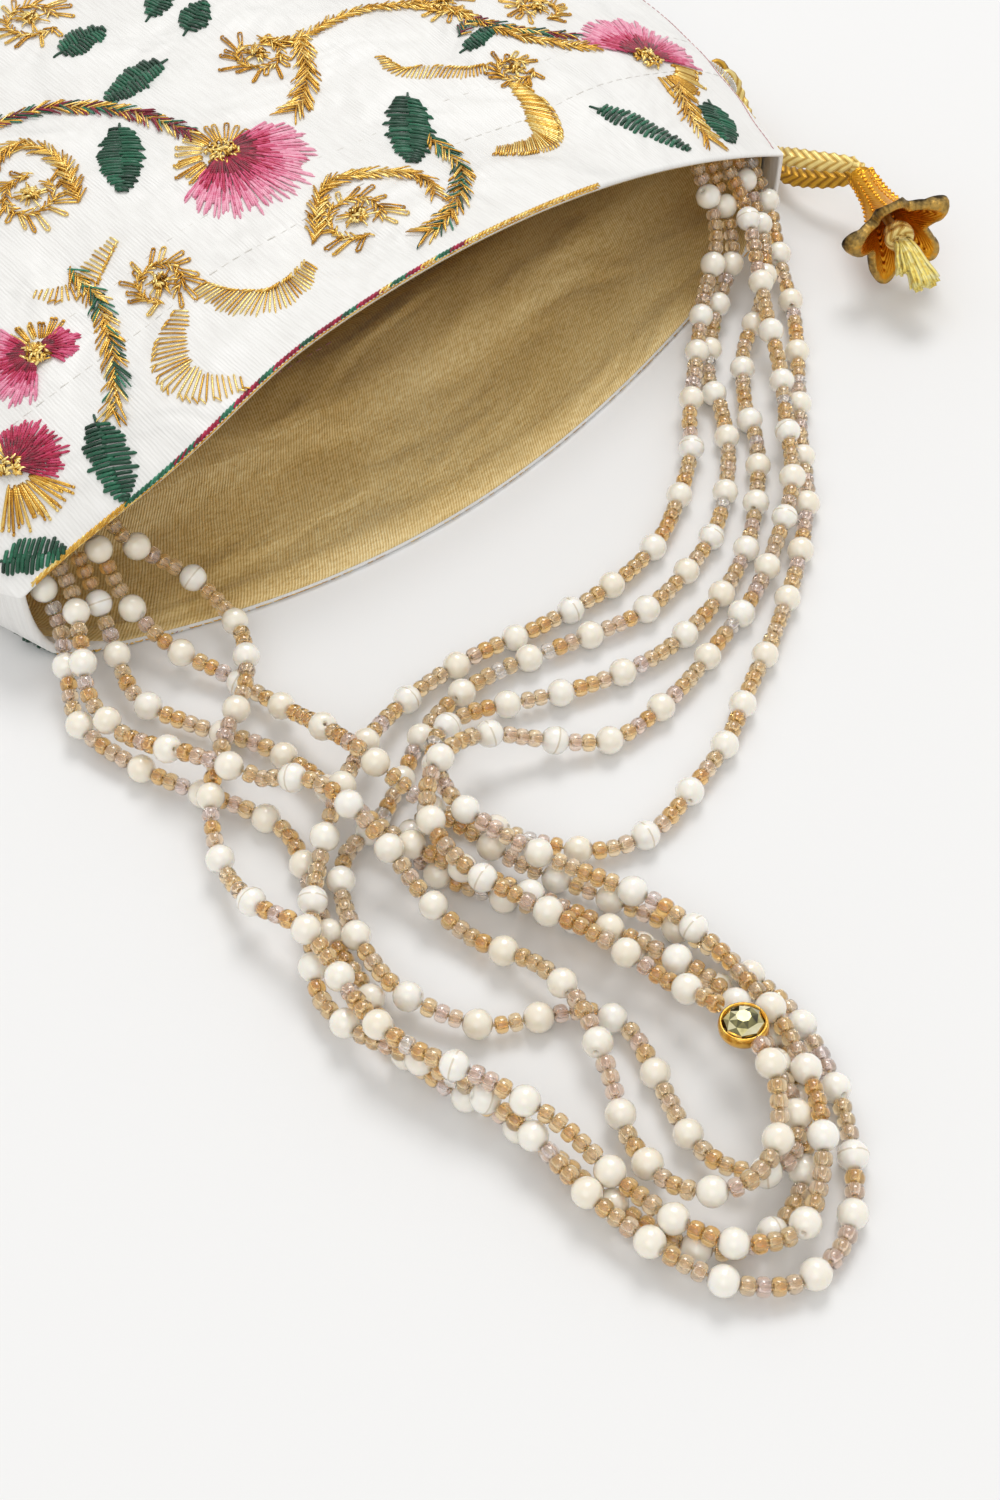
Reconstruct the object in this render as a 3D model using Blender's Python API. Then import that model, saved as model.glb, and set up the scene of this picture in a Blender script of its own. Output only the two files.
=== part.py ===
"""A drawstring pouch that lies on its back, mouth open, with its handle of five beaded strands in front.

Metres, +Z up. The mouth faces -Y. The origin is on the floor under the middle of the pouch.
Sizes and places are written in millimetres and become metres where a mesh is made.
"""
import math

import bmesh
import bpy
import numpy as np
from mathutils import Vector

MM = 0.001
TOUCH_GAP = 0.3             # between neighbours that touch in the real pouch

# the pouch's outline, seen from above
POUCH_LENGTH = 240.0        # from the upper rim to the bottom seam
MOUTH_HALF = 110.0          # half the flat mouth
BELLY_HALF = 128.0          # half the widest place
BELLY_DEPTH = 70.0          # how far in from the rim it is widest
BOTTOM_CORNER = 70.0        # radius of the two bottom corners
LIP_REACH = 26.0            # how far the lower rim reaches out past the upper one
UPPER_REACH = 3.0           # how far the upper rim leans out
MOUTH_Y = -(POUCH_LENGTH - LIP_REACH) / 2

# the pouch's section
CORNER_HEIGHT = 20.0        # of the side seam at the mouth
SEAM_HEIGHT = 14.0          # of the side seam further in
SEAM_FADE = 25.0
ARCH_RISE = 31.0            # the upper rim above the mouth's corners
BELLY_RISE = 34.0           # the upper panel above the side seam, further in
FLAT_SHARE = 0.36           # of the half width that lies flat on the floor
FLAT_DEPTH = 0.72           # of the length that lies flat on the floor
FOLD_HEIGHT = 1.0           # soft waves in the upper panel

# cloth, from outside to inside
SATIN = 0.8
HEM = 1.7                   # satin folded over the lining at the rim
HEM_DEPTH = 5.0
HEM_TAPER = 2.0
LINING = 0.4
LINING_OUT = SATIN + TOUCH_GAP
COLUMNS = 16

# the casing and the drawstring in it
CASING_DEPTH = 37.0         # from the rim to the casing's middle
CASING_HALF = 6.0
CASING_RAMP = 7.0
CORD_DIAMETER = 3.2
RUN_OFFSET = 2.5            # the upper and the lower run, either side of the casing's middle
CORD_INSET = SATIN + CORD_DIAMETER / 2 + 1.3
CASING_ROOM = CORD_INSET + CORD_DIAMETER / 2 + 0.9 - LINING_OUT
SLIT_HALF = 2.8             # half the height of the slit in the right side seam
SLIT_LENGTH = 11.0

# the metal flower on the drawstring's ends
NECK_START = (122.5, -118.0, 14.5)
RIM_MIDDLE = (112.0, -141.0, 15.5)
NECK_RADIUS = 3.9
NECK_LENGTH = 7.0
FLOWER_RADIUS = 12.6
FLOWER_WALL = 0.6
PETALS = 5
KNOT_RADIUS = 3.1
KNOT_STEM = 1.6
FRINGE_LENGTH = 11.0
FRINGE_RADIUS = 3.4
FRINGE_TURN = (-4.0, -10.0, -5.0)
TAIL_SPREAD = 1.8
TAIL_STRAIGHT = 6.0
TAIL_STEP = 5.0

# the handle
STRAND_DIAMETER = 3.8       # the outer shape of the seed beads
THREAD_HEIGHT = 3.0         # a thread through 6 mm pearls that lie on the floor
STRAND_STEP = 8.5
STRAND_APART = 4.4          # least distance between two strands' middles
LIP_LIFT = 2.4              # a strand that lies on the lower rim
LIFT_FADE = 14.0            # how gently a strand climbs over another
DROP_FADE = 12.0            # how steeply it drops from its tab
TAB_ZONE = 10.0             # the strands hang side by side this near to a tab
ROUTE_DIVISIONS = 12        # samples between two of a route's points
LAY_STEP = 1.0
TAB_LENGTH = 22.0
TAB_WIDTH = 7.0
TAB_THICKNESS = 2.0
TAB_DEPTH = 6.0
TAB_INSET = HEM + TOUCH_GAP + 0.1
TAB_MIDDLE = {1: 93.5, -1: -94.0}
TAB_CLEARANCE = 3.2         # from a tab to the middle of a strand's end
GOLD_BEAD_DIAMETER = 9.6
GOLD_BEAD_LENGTH = 8.0
GOLD_BEAD_BORE = 5.4
GOLD_BEAD_PLACE = (-65.0, -277.0)
GOLD_STRAND_NUMBER = 4
LAY_ORDER = (5, 2, 1, 3, 4)

# each strand from its right tab, once round the loop on the floor, to its left tab
STRAND_ROUTES = {
    1: ((84.5, -102), (84.3, -109), (79, -116), (70, -122), (62, -129), (52, -138), (42, -147), (36, -154), (25, -162),
        (12, -169), (-3, -172), (-23, -171), (-40, -168), (-55, -168), (-69, -172), (-81, -179), (-92, -186),
        (-102, -194), (-110, -203), (-117, -214), (-117, -226), (-113, -237), (-109, -250), (-107, -263),
        (-107, -277), (-105, -291), (-100, -305), (-90, -314), (-78, -314), (-68, -307), (-60, -297),
        (-54, -285), (-51, -272), (-52, -258), (-55, -245), (-61, -230), (-68, -216), (-72, -203),
        (-76, -190), (-79, -178), (-79, -165), (-80, -152), (-83, -139), (-88, -127), (-90, -115),
        (-89.8, -108), (-89.8, -102)),
    2: ((89, -102), (88.8, -109), (84, -117), (75, -122.5), (64, -131), (55, -140), (51, -148), (41, -161),
        (25, -174), (9, -180), (-5, -182), (-20, -179), (-36, -175), (-48, -174), (-61, -177), (-73, -184),
        (-83, -189), (-92, -191), (-99, -198), (-104, -210), (-105, -224), (-98, -238), (-88, -244),
        (-80, -249), (-77, -257), (-80, -268), (-84, -280), (-84, -290), (-78, -297), (-70, -294),
        (-64, -284), (-60, -272), (-60, -259), (-64, -246), (-69, -233), (-75, -219), (-81, -205), (-85, -191),
        (-86, -179), (-86, -168), (-89, -157), (-96, -145), (-101, -132), (-97, -118), (-94.6, -109),
        (-94.3, -102)),
    3: ((98, -102), (97.6, -110), (91, -121), (80, -131), (68, -138), (56, -151), (49, -162), (36, -175),
        (22, -185), (6, -191), (-10, -193), (-26, -190), (-39, -185), (-52, -180), (-62, -182), (-68, -190),
        (-71, -200), (-68, -213), (-62, -226), (-56, -240), (-54, -254), (-55, -267), (-58, -281),
        (-64, -293), (-73, -303), (-84, -308), (-94, -303), (-99, -292), (-101, -279), (-103, -265),
        (-108, -250), (-113, -239), (-115, -228), (-113, -215), (-112, -204), (-115, -192), (-113, -178),
        (-106, -165), (-94, -154), (-82, -145), (-74, -131), (-74, -117),
        (-79, -110), (-84, -106), (-85.3, -102)),
    4: ((93.5, -102), (93.2, -109), (88.5, -118), (83, -127), (76, -137), (68, -150), (57, -163), (45, -177),
        (32, -186), (17, -194), (1, -199), (-14, -203), (-32, -204), (-45, -196), (-56, -190), (-68, -191),
        (-77, -198), (-80, -211), (-76, -225), (-71, -238), (-67, -252), (-65, -265), (-65, -277),
        (-69, -287), (-77, -295), (-87, -296), (-94, -288), (-93, -275), (-87, -262), (-82, -248),
        (-82, -236), (-86, -224), (-88, -212), (-88, -200), (-89, -189), (-91, -179), (-96, -170),
        (-103, -158), (-108, -145), (-110, -130), (-104, -118),
        (-99.3, -109), (-98.8, -102)),
    5: ((102.5, -102), (102, -111), (94, -124), (85.5, -137), (74, -150), (58, -167), (46, -181), (30, -194),
        (12, -205), (-2, -212), (-15, -219), (-28, -223), (-41, -226), (-53, -223), (-61, -214),
        (-67, -203), (-72, -195), (-79, -195), (-82, -204), (-77, -216), (-70, -228), (-64, -241),
        (-60, -254), (-57, -267), (-59, -281), (-67, -293), (-77, -302), (-89, -304), (-98, -298),
        (-103, -285), (-105, -270), (-107, -255), (-111, -243), (-112, -230), (-109, -218), (-107, -206),
        (-104, -196), (-100, -187), (-98, -178), (-101, -168), (-107, -156), (-112, -143), (-114, -130),
        (-109, -119), (-104.2, -110), (-103.3, -102)),
}
# the drawstring's two ends, from the slit forward along the side to the flower's neck
UPPER_TAIL = ((128.5, -73.5, 13.5), (128.0, -79.0, 10.0), (125.5, -87.0, 8.5), (123.5, -96.0, 9.5),
              (123.5, -104.0, 12.6))
LOWER_TAIL = ((130.0, -67.5, 13.0), (132.0, -71.0, 7.5), (130.5, -80.0, 4.0), (127.5, -90.0, 3.8),
              (125.5, -101.0, 7.5))

# embroidered patches on the upper panel: place across and along as shares of the panel, then
# long and short radius and turn
PAD_GAP = 0.5
PAD_THICKNESS = 0.6
FLOWER_PADS = ((-0.103, 0.212, 14, 13, 0), (0.793, 0.158, 12, 11, 0), (-0.603, 0.171, 9, 9, 0),
               (-0.787, 0.087, 9, 9, 0), (-0.391, 0.625, 13, 12, 0))
LEAF_PADS = ((-0.086, 0.396, 9, 5, 7), (-0.234, 0.308, 10, 6, 59), (-0.094, 0.475, 6, 5, 5),
             (0.102, 0.433, 5, 4, 23), (0.210, 0.167, 10, 6, 53), (-0.702, 0.042, 8, 4, 72),
             (-0.895, 0.029, 6, 4, -45), (0.640, 0.058, 8, 4, -59), (0.839, 0.046, 6, 4, -56),
             (0.495, 0.242, 6, 3, 0), (0.703, 0.333, 11, 6, 60), (0.156, 0.667, 11, 6, 15))


def paint(name, colour, roughness, metallic=0.0):
    """A plain Principled material."""
    material = bpy.data.materials.new(name)
    material.use_nodes = True
    shader = material.node_tree.nodes["Principled BSDF"]
    shader.inputs["Base Color"].default_value = (*colour, 1.0)
    shader.inputs["Roughness"].default_value = roughness
    shader.inputs["Metallic"].default_value = metallic
    return material


def addMesh(name, points, faces, material, smooth=True):
    """One object from points in millimetres."""
    mesh = bpy.data.meshes.new(name)
    mesh.from_pydata([Vector(p) * MM for p in points], [], faces)
    mesh.validate()
    work = bmesh.new()
    work.from_mesh(mesh)
    bmesh.ops.recalc_face_normals(work, faces=work.faces)
    work.to_mesh(mesh)
    work.free()
    mesh.materials.append(material)
    if smooth:
        mesh.shade_smooth()
        mesh.set_sharp_from_angle(angle=math.radians(40))
    piece = bpy.data.objects.new(name, mesh)
    bpy.context.collection.objects.link(piece)
    return piece


# the pouch as one nested surface: across runs from -1 to 1, depth in millimetres from the rim,
# and inset in millimetres from the outermost face

def halfWidth(depth):
    width = MOUTH_HALF + (BELLY_HALF - MOUTH_HALF) * math.sin(math.pi / 2 * min(depth / BELLY_DEPTH, 1.0))
    past = max(depth - (POUCH_LENGTH - BOTTOM_CORNER), 0.0)
    return width - BOTTOM_CORNER + math.sqrt(max(BOTTOM_CORNER ** 2 - past ** 2, 0.0))


def seamHeight(depth):
    return SEAM_HEIGHT + (CORNER_HEIGHT - SEAM_HEIGHT) * math.exp(-max(depth, 0.0) / SEAM_FADE)


def lipReach(across):
    """How far the lower rim bulges out: a bent sine, fuller on the left."""
    share = min(max((across + 1) / 2, 0.0), 1.0)
    return LIP_REACH * math.sin(math.pi * share ** 0.85)


def slitShift(across, depth):
    near = min(max((across - 0.9) / 0.1, 0.0), 1.0)
    along = math.exp(-((depth - CASING_DEPTH) / SLIT_LENGTH) ** 4)
    return SLIT_HALF * near * along


def upperPoint(across, depth, inset, slit=False):
    share = depth / POUCH_LENGTH
    rise = ARCH_RISE + (BELLY_RISE - ARCH_RISE) * min(depth / BELLY_DEPTH, 1.0)
    sweep = 0.5 + 0.5 * math.exp(-max(depth, 0.0) / 18.0)
    arch = max(1.0 - across ** 2, 0.0) ** sweep
    close = max(1.0 - share ** 3.2, 0.0) ** 0.6
    fold = FOLD_HEIGHT * math.sin(5.5 * across + 2.2) * 4 * share * (1 - share) * (1 - across ** 2)
    x = across * (halfWidth(depth) - inset)
    lean = UPPER_REACH * max(1 - across ** 2, 0.0) * (1 - share) ** 6
    y = MOUTH_Y + depth * (POUCH_LENGTH - inset) / POUCH_LENGTH - lean
    z = seamHeight(depth) + TOUCH_GAP / 2 + (rise - inset) * arch * close + fold
    if slit:
        z += slitShift(across, depth)
    return (x, y, z)


def lowerPoint(across, depth, inset, slit=False):
    share = depth / POUCH_LENGTH
    seam = seamHeight(depth) - TOUCH_GAP / 2
    square = 8.0 + 22.0 * math.exp(-max(depth, 0.0) / 20.0)
    side = max((abs(across) - FLAT_SHARE) / (1 - FLAT_SHARE), 0.0)
    end = max((share - FLAT_DEPTH) / (1 - FLAT_DEPTH), 0.0)
    drop = math.sqrt(max(1 - side ** square, 0.0)) * math.sqrt(max(1 - end ** 3, 0.0))
    x = across * (halfWidth(depth) - inset)
    y = MOUTH_Y + depth * (POUCH_LENGTH - inset) / POUCH_LENGTH - lipReach(across) * (1 - share) ** 4
    z = seam - (seam - inset) * drop
    if slit:
        z -= slitShift(across, depth)
    return (x, y, z)


def casingSwell(depth):
    """1 in the casing, 0 outside it, with a soft ramp on each side."""
    away = (abs(depth - CASING_DEPTH) - CASING_HALF) / CASING_RAMP
    away = min(max(away, 0.0), 1.0)
    return 0.5 + 0.5 * math.cos(math.pi * away)


def depthRows(first):
    """The rows that a panel's grid needs: rim, casing, belly and the rounded bottom."""
    casingEdge = CASING_HALF + CASING_RAMP
    rows = [CASING_DEPTH + k for k in (-casingEdge, -CASING_HALF, 0.0, CASING_HALF, casingEdge)]
    bellyStart = CASING_DEPTH + casingEdge
    bellyEnd = POUCH_LENGTH - BOTTOM_CORNER + 10.0
    rows += [bellyStart + (bellyEnd - bellyStart) * k / 5 for k in range(1, 6)]
    rows += [bellyEnd + (POUCH_LENGTH - bellyEnd) * math.sin(math.pi / 2 * k / 5) for k in range(1, 6)]
    return first + rows


def acrossColumns():
    return [math.sin(math.pi / 2 * (2 * k / COLUMNS - 1)) for k in range(COLUMNS + 1)]


def shellFaces(rows, columns):
    """Two grids of rows x columns points, one after the other, joined round their edges.

    Every cell is cut along the same diagonal, so that nested panels keep their gap.
    """
    faces = []
    size = rows * columns
    for r in range(rows - 1):
        for c in range(columns - 1):
            a = r * columns + c
            for b, d in ((a + 1, a + columns + 1), (a + columns + 1, a + columns)):
                faces.append((a, b, d))
                faces.append((size + a, size + d, size + b))
    ring = [c for c in range(columns)]
    ring += [r * columns + columns - 1 for r in range(1, rows)]
    ring += [(rows - 1) * columns + c for c in range(columns - 2, -1, -1)]
    ring += [r * columns for r in range(rows - 2, 0, -1)]
    for k, a in enumerate(ring):
        b = ring[(k + 1) % len(ring)]
        faces.append((a, size + a, size + b, b))
    return faces


def addPanel(name, surface, rows, outer, inner, material, slit):
    """A closed cloth panel between two insets, each a function of depth."""
    columns = acrossColumns()
    points = [surface(u, d, outer(d), slit) for d in rows for u in columns]
    points += [surface(u, d, inner(d), slit) for d in rows for u in columns]
    return addMesh(name, points, shellFaces(len(rows), len(columns)), material)


def satinInside(depth):
    """The satin's inner face, with the hem that is folded over the lining at the rim."""
    taper = min(max((depth - HEM_DEPTH) / HEM_TAPER, 0.0), 1.0)
    return HEM + (SATIN - HEM) * taper


def liningOutside(depth):
    return LINING_OUT + CASING_ROOM * casingSwell(depth)


def addPouch(satin, tissue):
    satinRows = depthRows([0.0, HEM_DEPTH, HEM_DEPTH + HEM_TAPER])
    liningRows = depthRows([HEM_DEPTH + HEM_TAPER + TOUCH_GAP])
    for side, surface in (("front", upperPoint), ("back", lowerPoint)):
        addPanel(side + "_panel", surface, satinRows, lambda d: 0.0, satinInside, satin, True)
        addPanel("lining_" + side, surface, liningRows, liningOutside,
                 lambda d: liningOutside(d) + LINING, tissue, False)


def addTube(name, points, diameter, material):
    """A cord as a round tube through points that are already close together."""
    curve = bpy.data.curves.new(name, "CURVE")
    curve.dimensions = "3D"
    curve.bevel_depth = diameter / 2 * MM
    curve.bevel_resolution = 2
    curve.render_resolution_u = 0
    curve.use_fill_caps = True
    spline = curve.splines.new("POLY")
    spline.points.add(len(points) - 1)
    for spot, place in zip(spline.points, points):
        spot.co = (place[0] * MM, place[1] * MM, place[2] * MM, 1.0)
    spline.use_smooth = True
    curve.materials.append(material)
    piece = bpy.data.objects.new(name, curve)
    bpy.context.collection.objects.link(piece)
    return piece


def smoothCurve(points, step):
    """Even steps along a smooth curve through the points, and the distance of each step."""
    spots = np.array(points, float)
    spots = np.vstack([spots[:1], spots, spots[-1:]])
    t = np.linspace(0, 1, ROUTE_DIVISIONS, endpoint=False)[:, None]
    pieces = []
    for i in range(1, len(spots) - 2):
        a, b, c, d = spots[i - 1], spots[i], spots[i + 1], spots[i + 2]
        pieces.append(b + 0.5 * ((c - a) * t + (2 * a - 5 * b + 4 * c - d) * t ** 2
                                 + (3 * b - a - 3 * c + d) * t ** 3))
    pieces.append(spots[-1:])
    fine = np.vstack(pieces)
    run = np.concatenate([[0.0], np.cumsum(np.linalg.norm(np.diff(fine, axis=0), axis=1))])
    even = np.linspace(0.0, run[-1], int(round(run[-1] / step)) + 1)
    return np.column_stack([np.interp(even, run, column) for column in fine.T]), even


def tabUnderside(place):
    """Height of a handle tab's lower face over a strand's end, at the end's outer side."""
    across = (abs(place[0]) + STRAND_DIAMETER / 2) / halfWidth(TAB_DEPTH)
    way = math.copysign(across, place[0])
    return upperPoint(way, TAB_DEPTH - TAB_WIDTH / 2, TAB_INSET + TAB_THICKNESS)[2]


def restingHeight(plan):
    """The floor under a strand, or the lower rim where it crosses that."""
    lip = np.array([lipReach(x / MOUTH_HALF) for x in plan[:, 0]])
    inside = np.clip((plan[:, 1] - MOUTH_Y + lip + 3.0) / 6.0, 0, 1)
    return THREAD_HEIGHT + LIP_LIFT * inside


def bump(distance, reach):
    """1 at no distance, falling as a cosine to 0 at the reach."""
    return np.cos(np.clip(np.abs(distance) / reach, 0, 1) * math.pi / 2) ** 2


def liftOver(plan, below, belowHeight, allowed, apart=STRAND_APART):
    """The height that clears strands already laid, where they pass under this one."""
    reach = np.hypot(plan[:, :1] - below[:, 0], plan[:, 1:] - below[:, 1])
    rise = np.sqrt(np.clip(apart ** 2 - reach ** 2, 0, None))
    return np.where((reach < apart) & allowed, belowHeight + rise, 0.0).max(axis=1)


def layStrands():
    """Lay the strands one after another, each over those that lie there, and give their middles."""
    laid = {}
    for strand in LAY_ORDER:
        plan, run = smoothCurve(STRAND_ROUTES[strand], LAY_STEP)
        height = restingHeight(plan)
        drop = np.zeros(len(run))
        for away, place in ((run, plan[0]), (run[-1] - run, plan[-1])):
            start = tabUnderside(place) - TAB_CLEARANCE
            drop = np.maximum(drop, (start - THREAD_HEIGHT) * np.exp(-away / DROP_FADE))
        free = (np.minimum(run, run[-1] - run) > TAB_ZONE)[:, None]
        if laid:
            others = np.vstack(list(laid.values()))
            height = np.maximum(height, liftOver(plan, others, others[:, 2], free))
        if strand == GOLD_STRAND_NUMBER:
            spot = np.argmin(np.hypot(*(plan - GOLD_BEAD_PLACE).T))
            near = (np.abs(run - run[spot]) <= GOLD_BEAD_LENGTH / 2 + 1)[:, None]
            apart = (GOLD_BEAD_DIAMETER + STRAND_DIAMETER) / 2 + 0.8
            height = np.maximum(height, liftOver(plan, others, others[:, 2], near, apart))
        soften = bump(run[:, None] - run, LIFT_FADE)
        own = (run[:, None] - run) > LIFT_FADE
        for _ in range(4):
            height = THREAD_HEIGHT + ((height - THREAD_HEIGHT) * soften).max(axis=1)
            height = np.maximum(height, liftOver(plan, plan, height, own))
        lift = ((height - THREAD_HEIGHT) * soften).max(axis=1)
        laid[strand] = np.column_stack([plan, THREAD_HEIGHT + np.cbrt(lift ** 3 + drop ** 3)])
    return laid


def thinOut(line, step):
    """Every so many millimetres of a finely sampled line, with both ends."""
    run = np.concatenate([[0.0], np.cumsum(np.linalg.norm(np.diff(line, axis=0), axis=1))])
    even = np.linspace(0.0, run[-1], int(round(run[-1] / step)) + 1)
    return np.column_stack([np.interp(even, run, column) for column in line.T])


def ringsToMesh(name, rings, material):
    """A closed body from rings of equal count, with a cap on the first and the last ring."""
    count = len(rings[0])
    points = [p for ring in rings for p in ring]
    faces = []
    for r in range(len(rings) - 1):
        for c in range(count):
            a = r * count + c
            b = r * count + (c + 1) % count
            faces.append((a, b, b + count, a + count))
    faces.append(tuple(range(count - 1, -1, -1)))
    faces.append(tuple(range((len(rings) - 1) * count, len(rings) * count)))
    return addMesh(name, points, faces, material)


def ringAround(middle, axis, radius, count, wave=0.0, waves=1):
    """Points round an axis, with petals where wave isn't 0."""
    axis = Vector(axis).normalized()
    side = axis.cross(Vector((0, 0, 1))).normalized()
    up = side.cross(axis)
    points = []
    for k in range(count):
        turn = 2 * math.pi * k / count
        petal = math.cos(waves * turn)
        spread = radius * (1 + wave * petal)
        spot = Vector(middle) + (side * math.cos(turn) + up * math.sin(turn)) * spread
        points.append(tuple(spot + axis * (wave * radius * 0.8 * petal)))
    return points


def addFlower(metal, tissue):
    """The flower on the drawstring's ends, with the knot inside it and the fringe below."""
    start = Vector(NECK_START)
    axis = (Vector(RIM_MIDDLE) - start).normalized()
    length = (Vector(RIM_MIDDLE) - start).length
    flare = length - NECK_LENGTH

    def radiusAt(along):
        share = min(max((along - NECK_LENGTH) / flare, 0.0), 1.0)
        return NECK_RADIUS + (FLOWER_RADIUS - NECK_RADIUS) * share ** 1.7

    def petalAt(along):
        return 0.14 * min(max((along - NECK_LENGTH) / flare, 0.0), 1.0) ** 3

    count = 6 * PETALS
    stations = [0.0, NECK_LENGTH] + [NECK_LENGTH + flare * k / 5 for k in range(1, 6)]
    rings = [ringAround(start + axis * a, axis, radiusAt(a), count, petalAt(a), PETALS) for a in stations]
    bowl = [a for a in reversed(stations) if a > NECK_LENGTH] + [NECK_LENGTH + FLOWER_WALL]
    rings += [ringAround(start + axis * (a + 0.35 * FLOWER_WALL), axis, radiusAt(a) - 1.3 * FLOWER_WALL,
                         count, petalAt(a), PETALS) for a in bowl]
    ringsToMesh("flower_bell", rings, metal)

    bowlFloor = NECK_LENGTH + 1.35 * FLOWER_WALL + TOUCH_GAP
    knotMiddle = length - 1.0
    knotRings = [ringAround(start + axis * bowlFloor, axis, KNOT_STEM, 12),
                 ringAround(start + axis * (knotMiddle - KNOT_RADIUS * 0.9), axis, KNOT_STEM, 12)]
    for turn in (-40, -10, 20, 50, 75):
        swell = KNOT_RADIUS * math.cos(math.radians(turn))
        place = knotMiddle + KNOT_RADIUS * math.sin(math.radians(turn))
        knotRings.append(ringAround(start + axis * place, axis, swell, 12))
    ringsToMesh("drawstring_knot", knotRings, tissue)

    fringeStart = start + axis * (knotMiddle + KNOT_RADIUS * math.sin(math.radians(75)) + TOUCH_GAP)
    turned = Vector(FRINGE_TURN).normalized()
    spot = fringeStart
    fringe = [ringAround(spot, axis, FRINGE_RADIUS * 0.45, 12)]
    for k in range(1, 5):
        heading = axis.lerp(turned, k / 4).normalized()
        spot = spot + heading * (FRINGE_LENGTH / 4)
        fringe.append(ringAround(spot, heading, FRINGE_RADIUS * (0.45 + 0.55 * k / 4), 12))
    ringsToMesh("tassel_fringe", fringe, tissue)


def drawstringLine():
    """From the flower along the upper tail, round the pouch in its casing, and back along the lower one."""
    start = Vector(NECK_START)
    axis = (Vector(RIM_MIDDLE) - start).normalized()
    side = axis.cross(Vector((0, 0, 1))).normalized()
    up = side.cross(axis)
    ends = [[tuple(start - axis * back + up * TAIL_SPREAD * way) for back in (TOUCH_GAP, 3.0, TAIL_STRAIGHT)]
            for way in (1, -1)]
    upperDepth = CASING_DEPTH - RUN_OFFSET
    lowerDepth = CASING_DEPTH + RUN_OFFSET
    turns = [math.pi / 2 * (1 - k / COLUMNS) for k in range(1, 2 * COLUMNS)]

    def seamPoint(depth, out):
        place = lowerPoint(1.0, depth, 0.0)
        return (place[0] + out, place[1], seamHeight(depth))

    line = [tuple(p) for p in smoothCurve(ends[0] + list(reversed(UPPER_TAIL)), TAIL_STEP)[0]]
    line += [seamPoint(upperDepth, 3.0), seamPoint(upperDepth, -CORD_INSET)]
    line += [upperPoint(math.sin(t), upperDepth, CORD_INSET) for t in turns]
    left = lowerPoint(-1.0, CASING_DEPTH, CORD_INSET)
    line.append((left[0], left[1], seamHeight(CASING_DEPTH)))
    line += [lowerPoint(math.sin(t), lowerDepth, CORD_INSET) for t in reversed(turns)]
    line += [seamPoint(lowerDepth, -CORD_INSET), seamPoint(lowerDepth, 3.0)]
    line += [tuple(p) for p in smoothCurve(list(LOWER_TAIL) + ends[1][::-1], TAIL_STEP)[0]]
    return line


def addSurfacePad(name, across, depth, longRadius, shortRadius, turn, top, bottom, material):
    """A thin patch that follows the upper panel between two insets."""
    count = 12
    spin = math.radians(turn)
    outline = [(0.0, 0.0)]
    for share in (0.55, 1.0):
        for k in range(count):
            angle = 2 * math.pi * k / count
            a = longRadius * share * math.cos(angle)
            b = shortRadius * share * math.sin(angle)
            outline.append((a * math.cos(spin) - b * math.sin(spin), a * math.sin(spin) + b * math.cos(spin)))
    points = []
    for inset in (top, bottom):
        for a, b in outline:
            d = depth + b
            points.append(upperPoint((across + a) / halfWidth(d), d, inset))
    size = len(outline)
    faces = []
    for k in range(count):
        n = (k + 1) % count
        faces += [(0, 1 + k, 1 + n), (size, size + 1 + n, size + 1 + k)]
        inner, outer = 1 + k, 1 + count + k
        innerNext, outerNext = 1 + n, 1 + count + n
        faces.append((inner, outer, outerNext, innerNext))
        faces.append((size + innerNext, size + outerNext, size + outer, size + inner))
        faces.append((outer, size + outer, size + outerNext, outerNext))
    return addMesh(name, points, faces, material)


def addEmbroidery(pink, green):
    for label, pads, thread in (("flower_%d", FLOWER_PADS, pink), ("leaf_%02d", LEAF_PADS, green)):
        for number, (shareAcross, shareAlong, longRadius, shortRadius, turn) in enumerate(pads, 1):
            depth = shareAlong * POUCH_LENGTH
            addSurfacePad("embroidery_" + label % number, shareAcross * halfWidth(depth), depth, longRadius,
                          shortRadius, turn, -PAD_GAP - PAD_THICKNESS, -PAD_GAP, thread)


def addHandle(bead, cloth, gold):
    for way, label in ((1, "right"), (-1, "left")):
        addSurfacePad("handle_tab_" + label, TAB_MIDDLE[way], TAB_DEPTH, TAB_LENGTH / 2, TAB_WIDTH / 2, 0,
                      TAB_INSET, TAB_INSET + TAB_THICKNESS, cloth)
    laid = layStrands()
    for strand, line in sorted(laid.items()):
        addTube("bead_strand_%d" % strand, thinOut(line, STRAND_STEP), STRAND_DIAMETER, bead)
    line = thinOut(laid[GOLD_STRAND_NUMBER], STRAND_STEP)
    spot = int(np.argmin(np.hypot(*(line[:, :2] - GOLD_BEAD_PLACE).T)))
    middle, axis = line[spot], line[spot + 1] - line[spot - 1]
    addGoldBead(middle, axis, gold)


def addGoldBead(middle, axis, gold):
    """A faceted bead with a bore, threaded on one strand."""
    axis = Vector(axis).normalized()
    half = GOLD_BEAD_LENGTH / 2
    outer = GOLD_BEAD_DIAMETER / 2
    bore = GOLD_BEAD_BORE / 2
    profile = ((-half, bore), (-half, outer * 0.68), (-half * 0.45, outer), (half * 0.45, outer),
               (half, outer * 0.68), (half, bore))
    count = 10
    rings = [ringAround(Vector(middle) + axis * a, axis, r, count) for a, r in profile]
    points = [p for ring in rings for p in ring]
    faces = []
    for r in range(len(rings)):
        following = (r + 1) % len(rings)
        for c in range(count):
            n = (c + 1) % count
            faces.append((r * count + c, r * count + n, following * count + n, following * count + c))
    addMesh("gold_bead", points, faces, gold, smooth=False)


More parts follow.
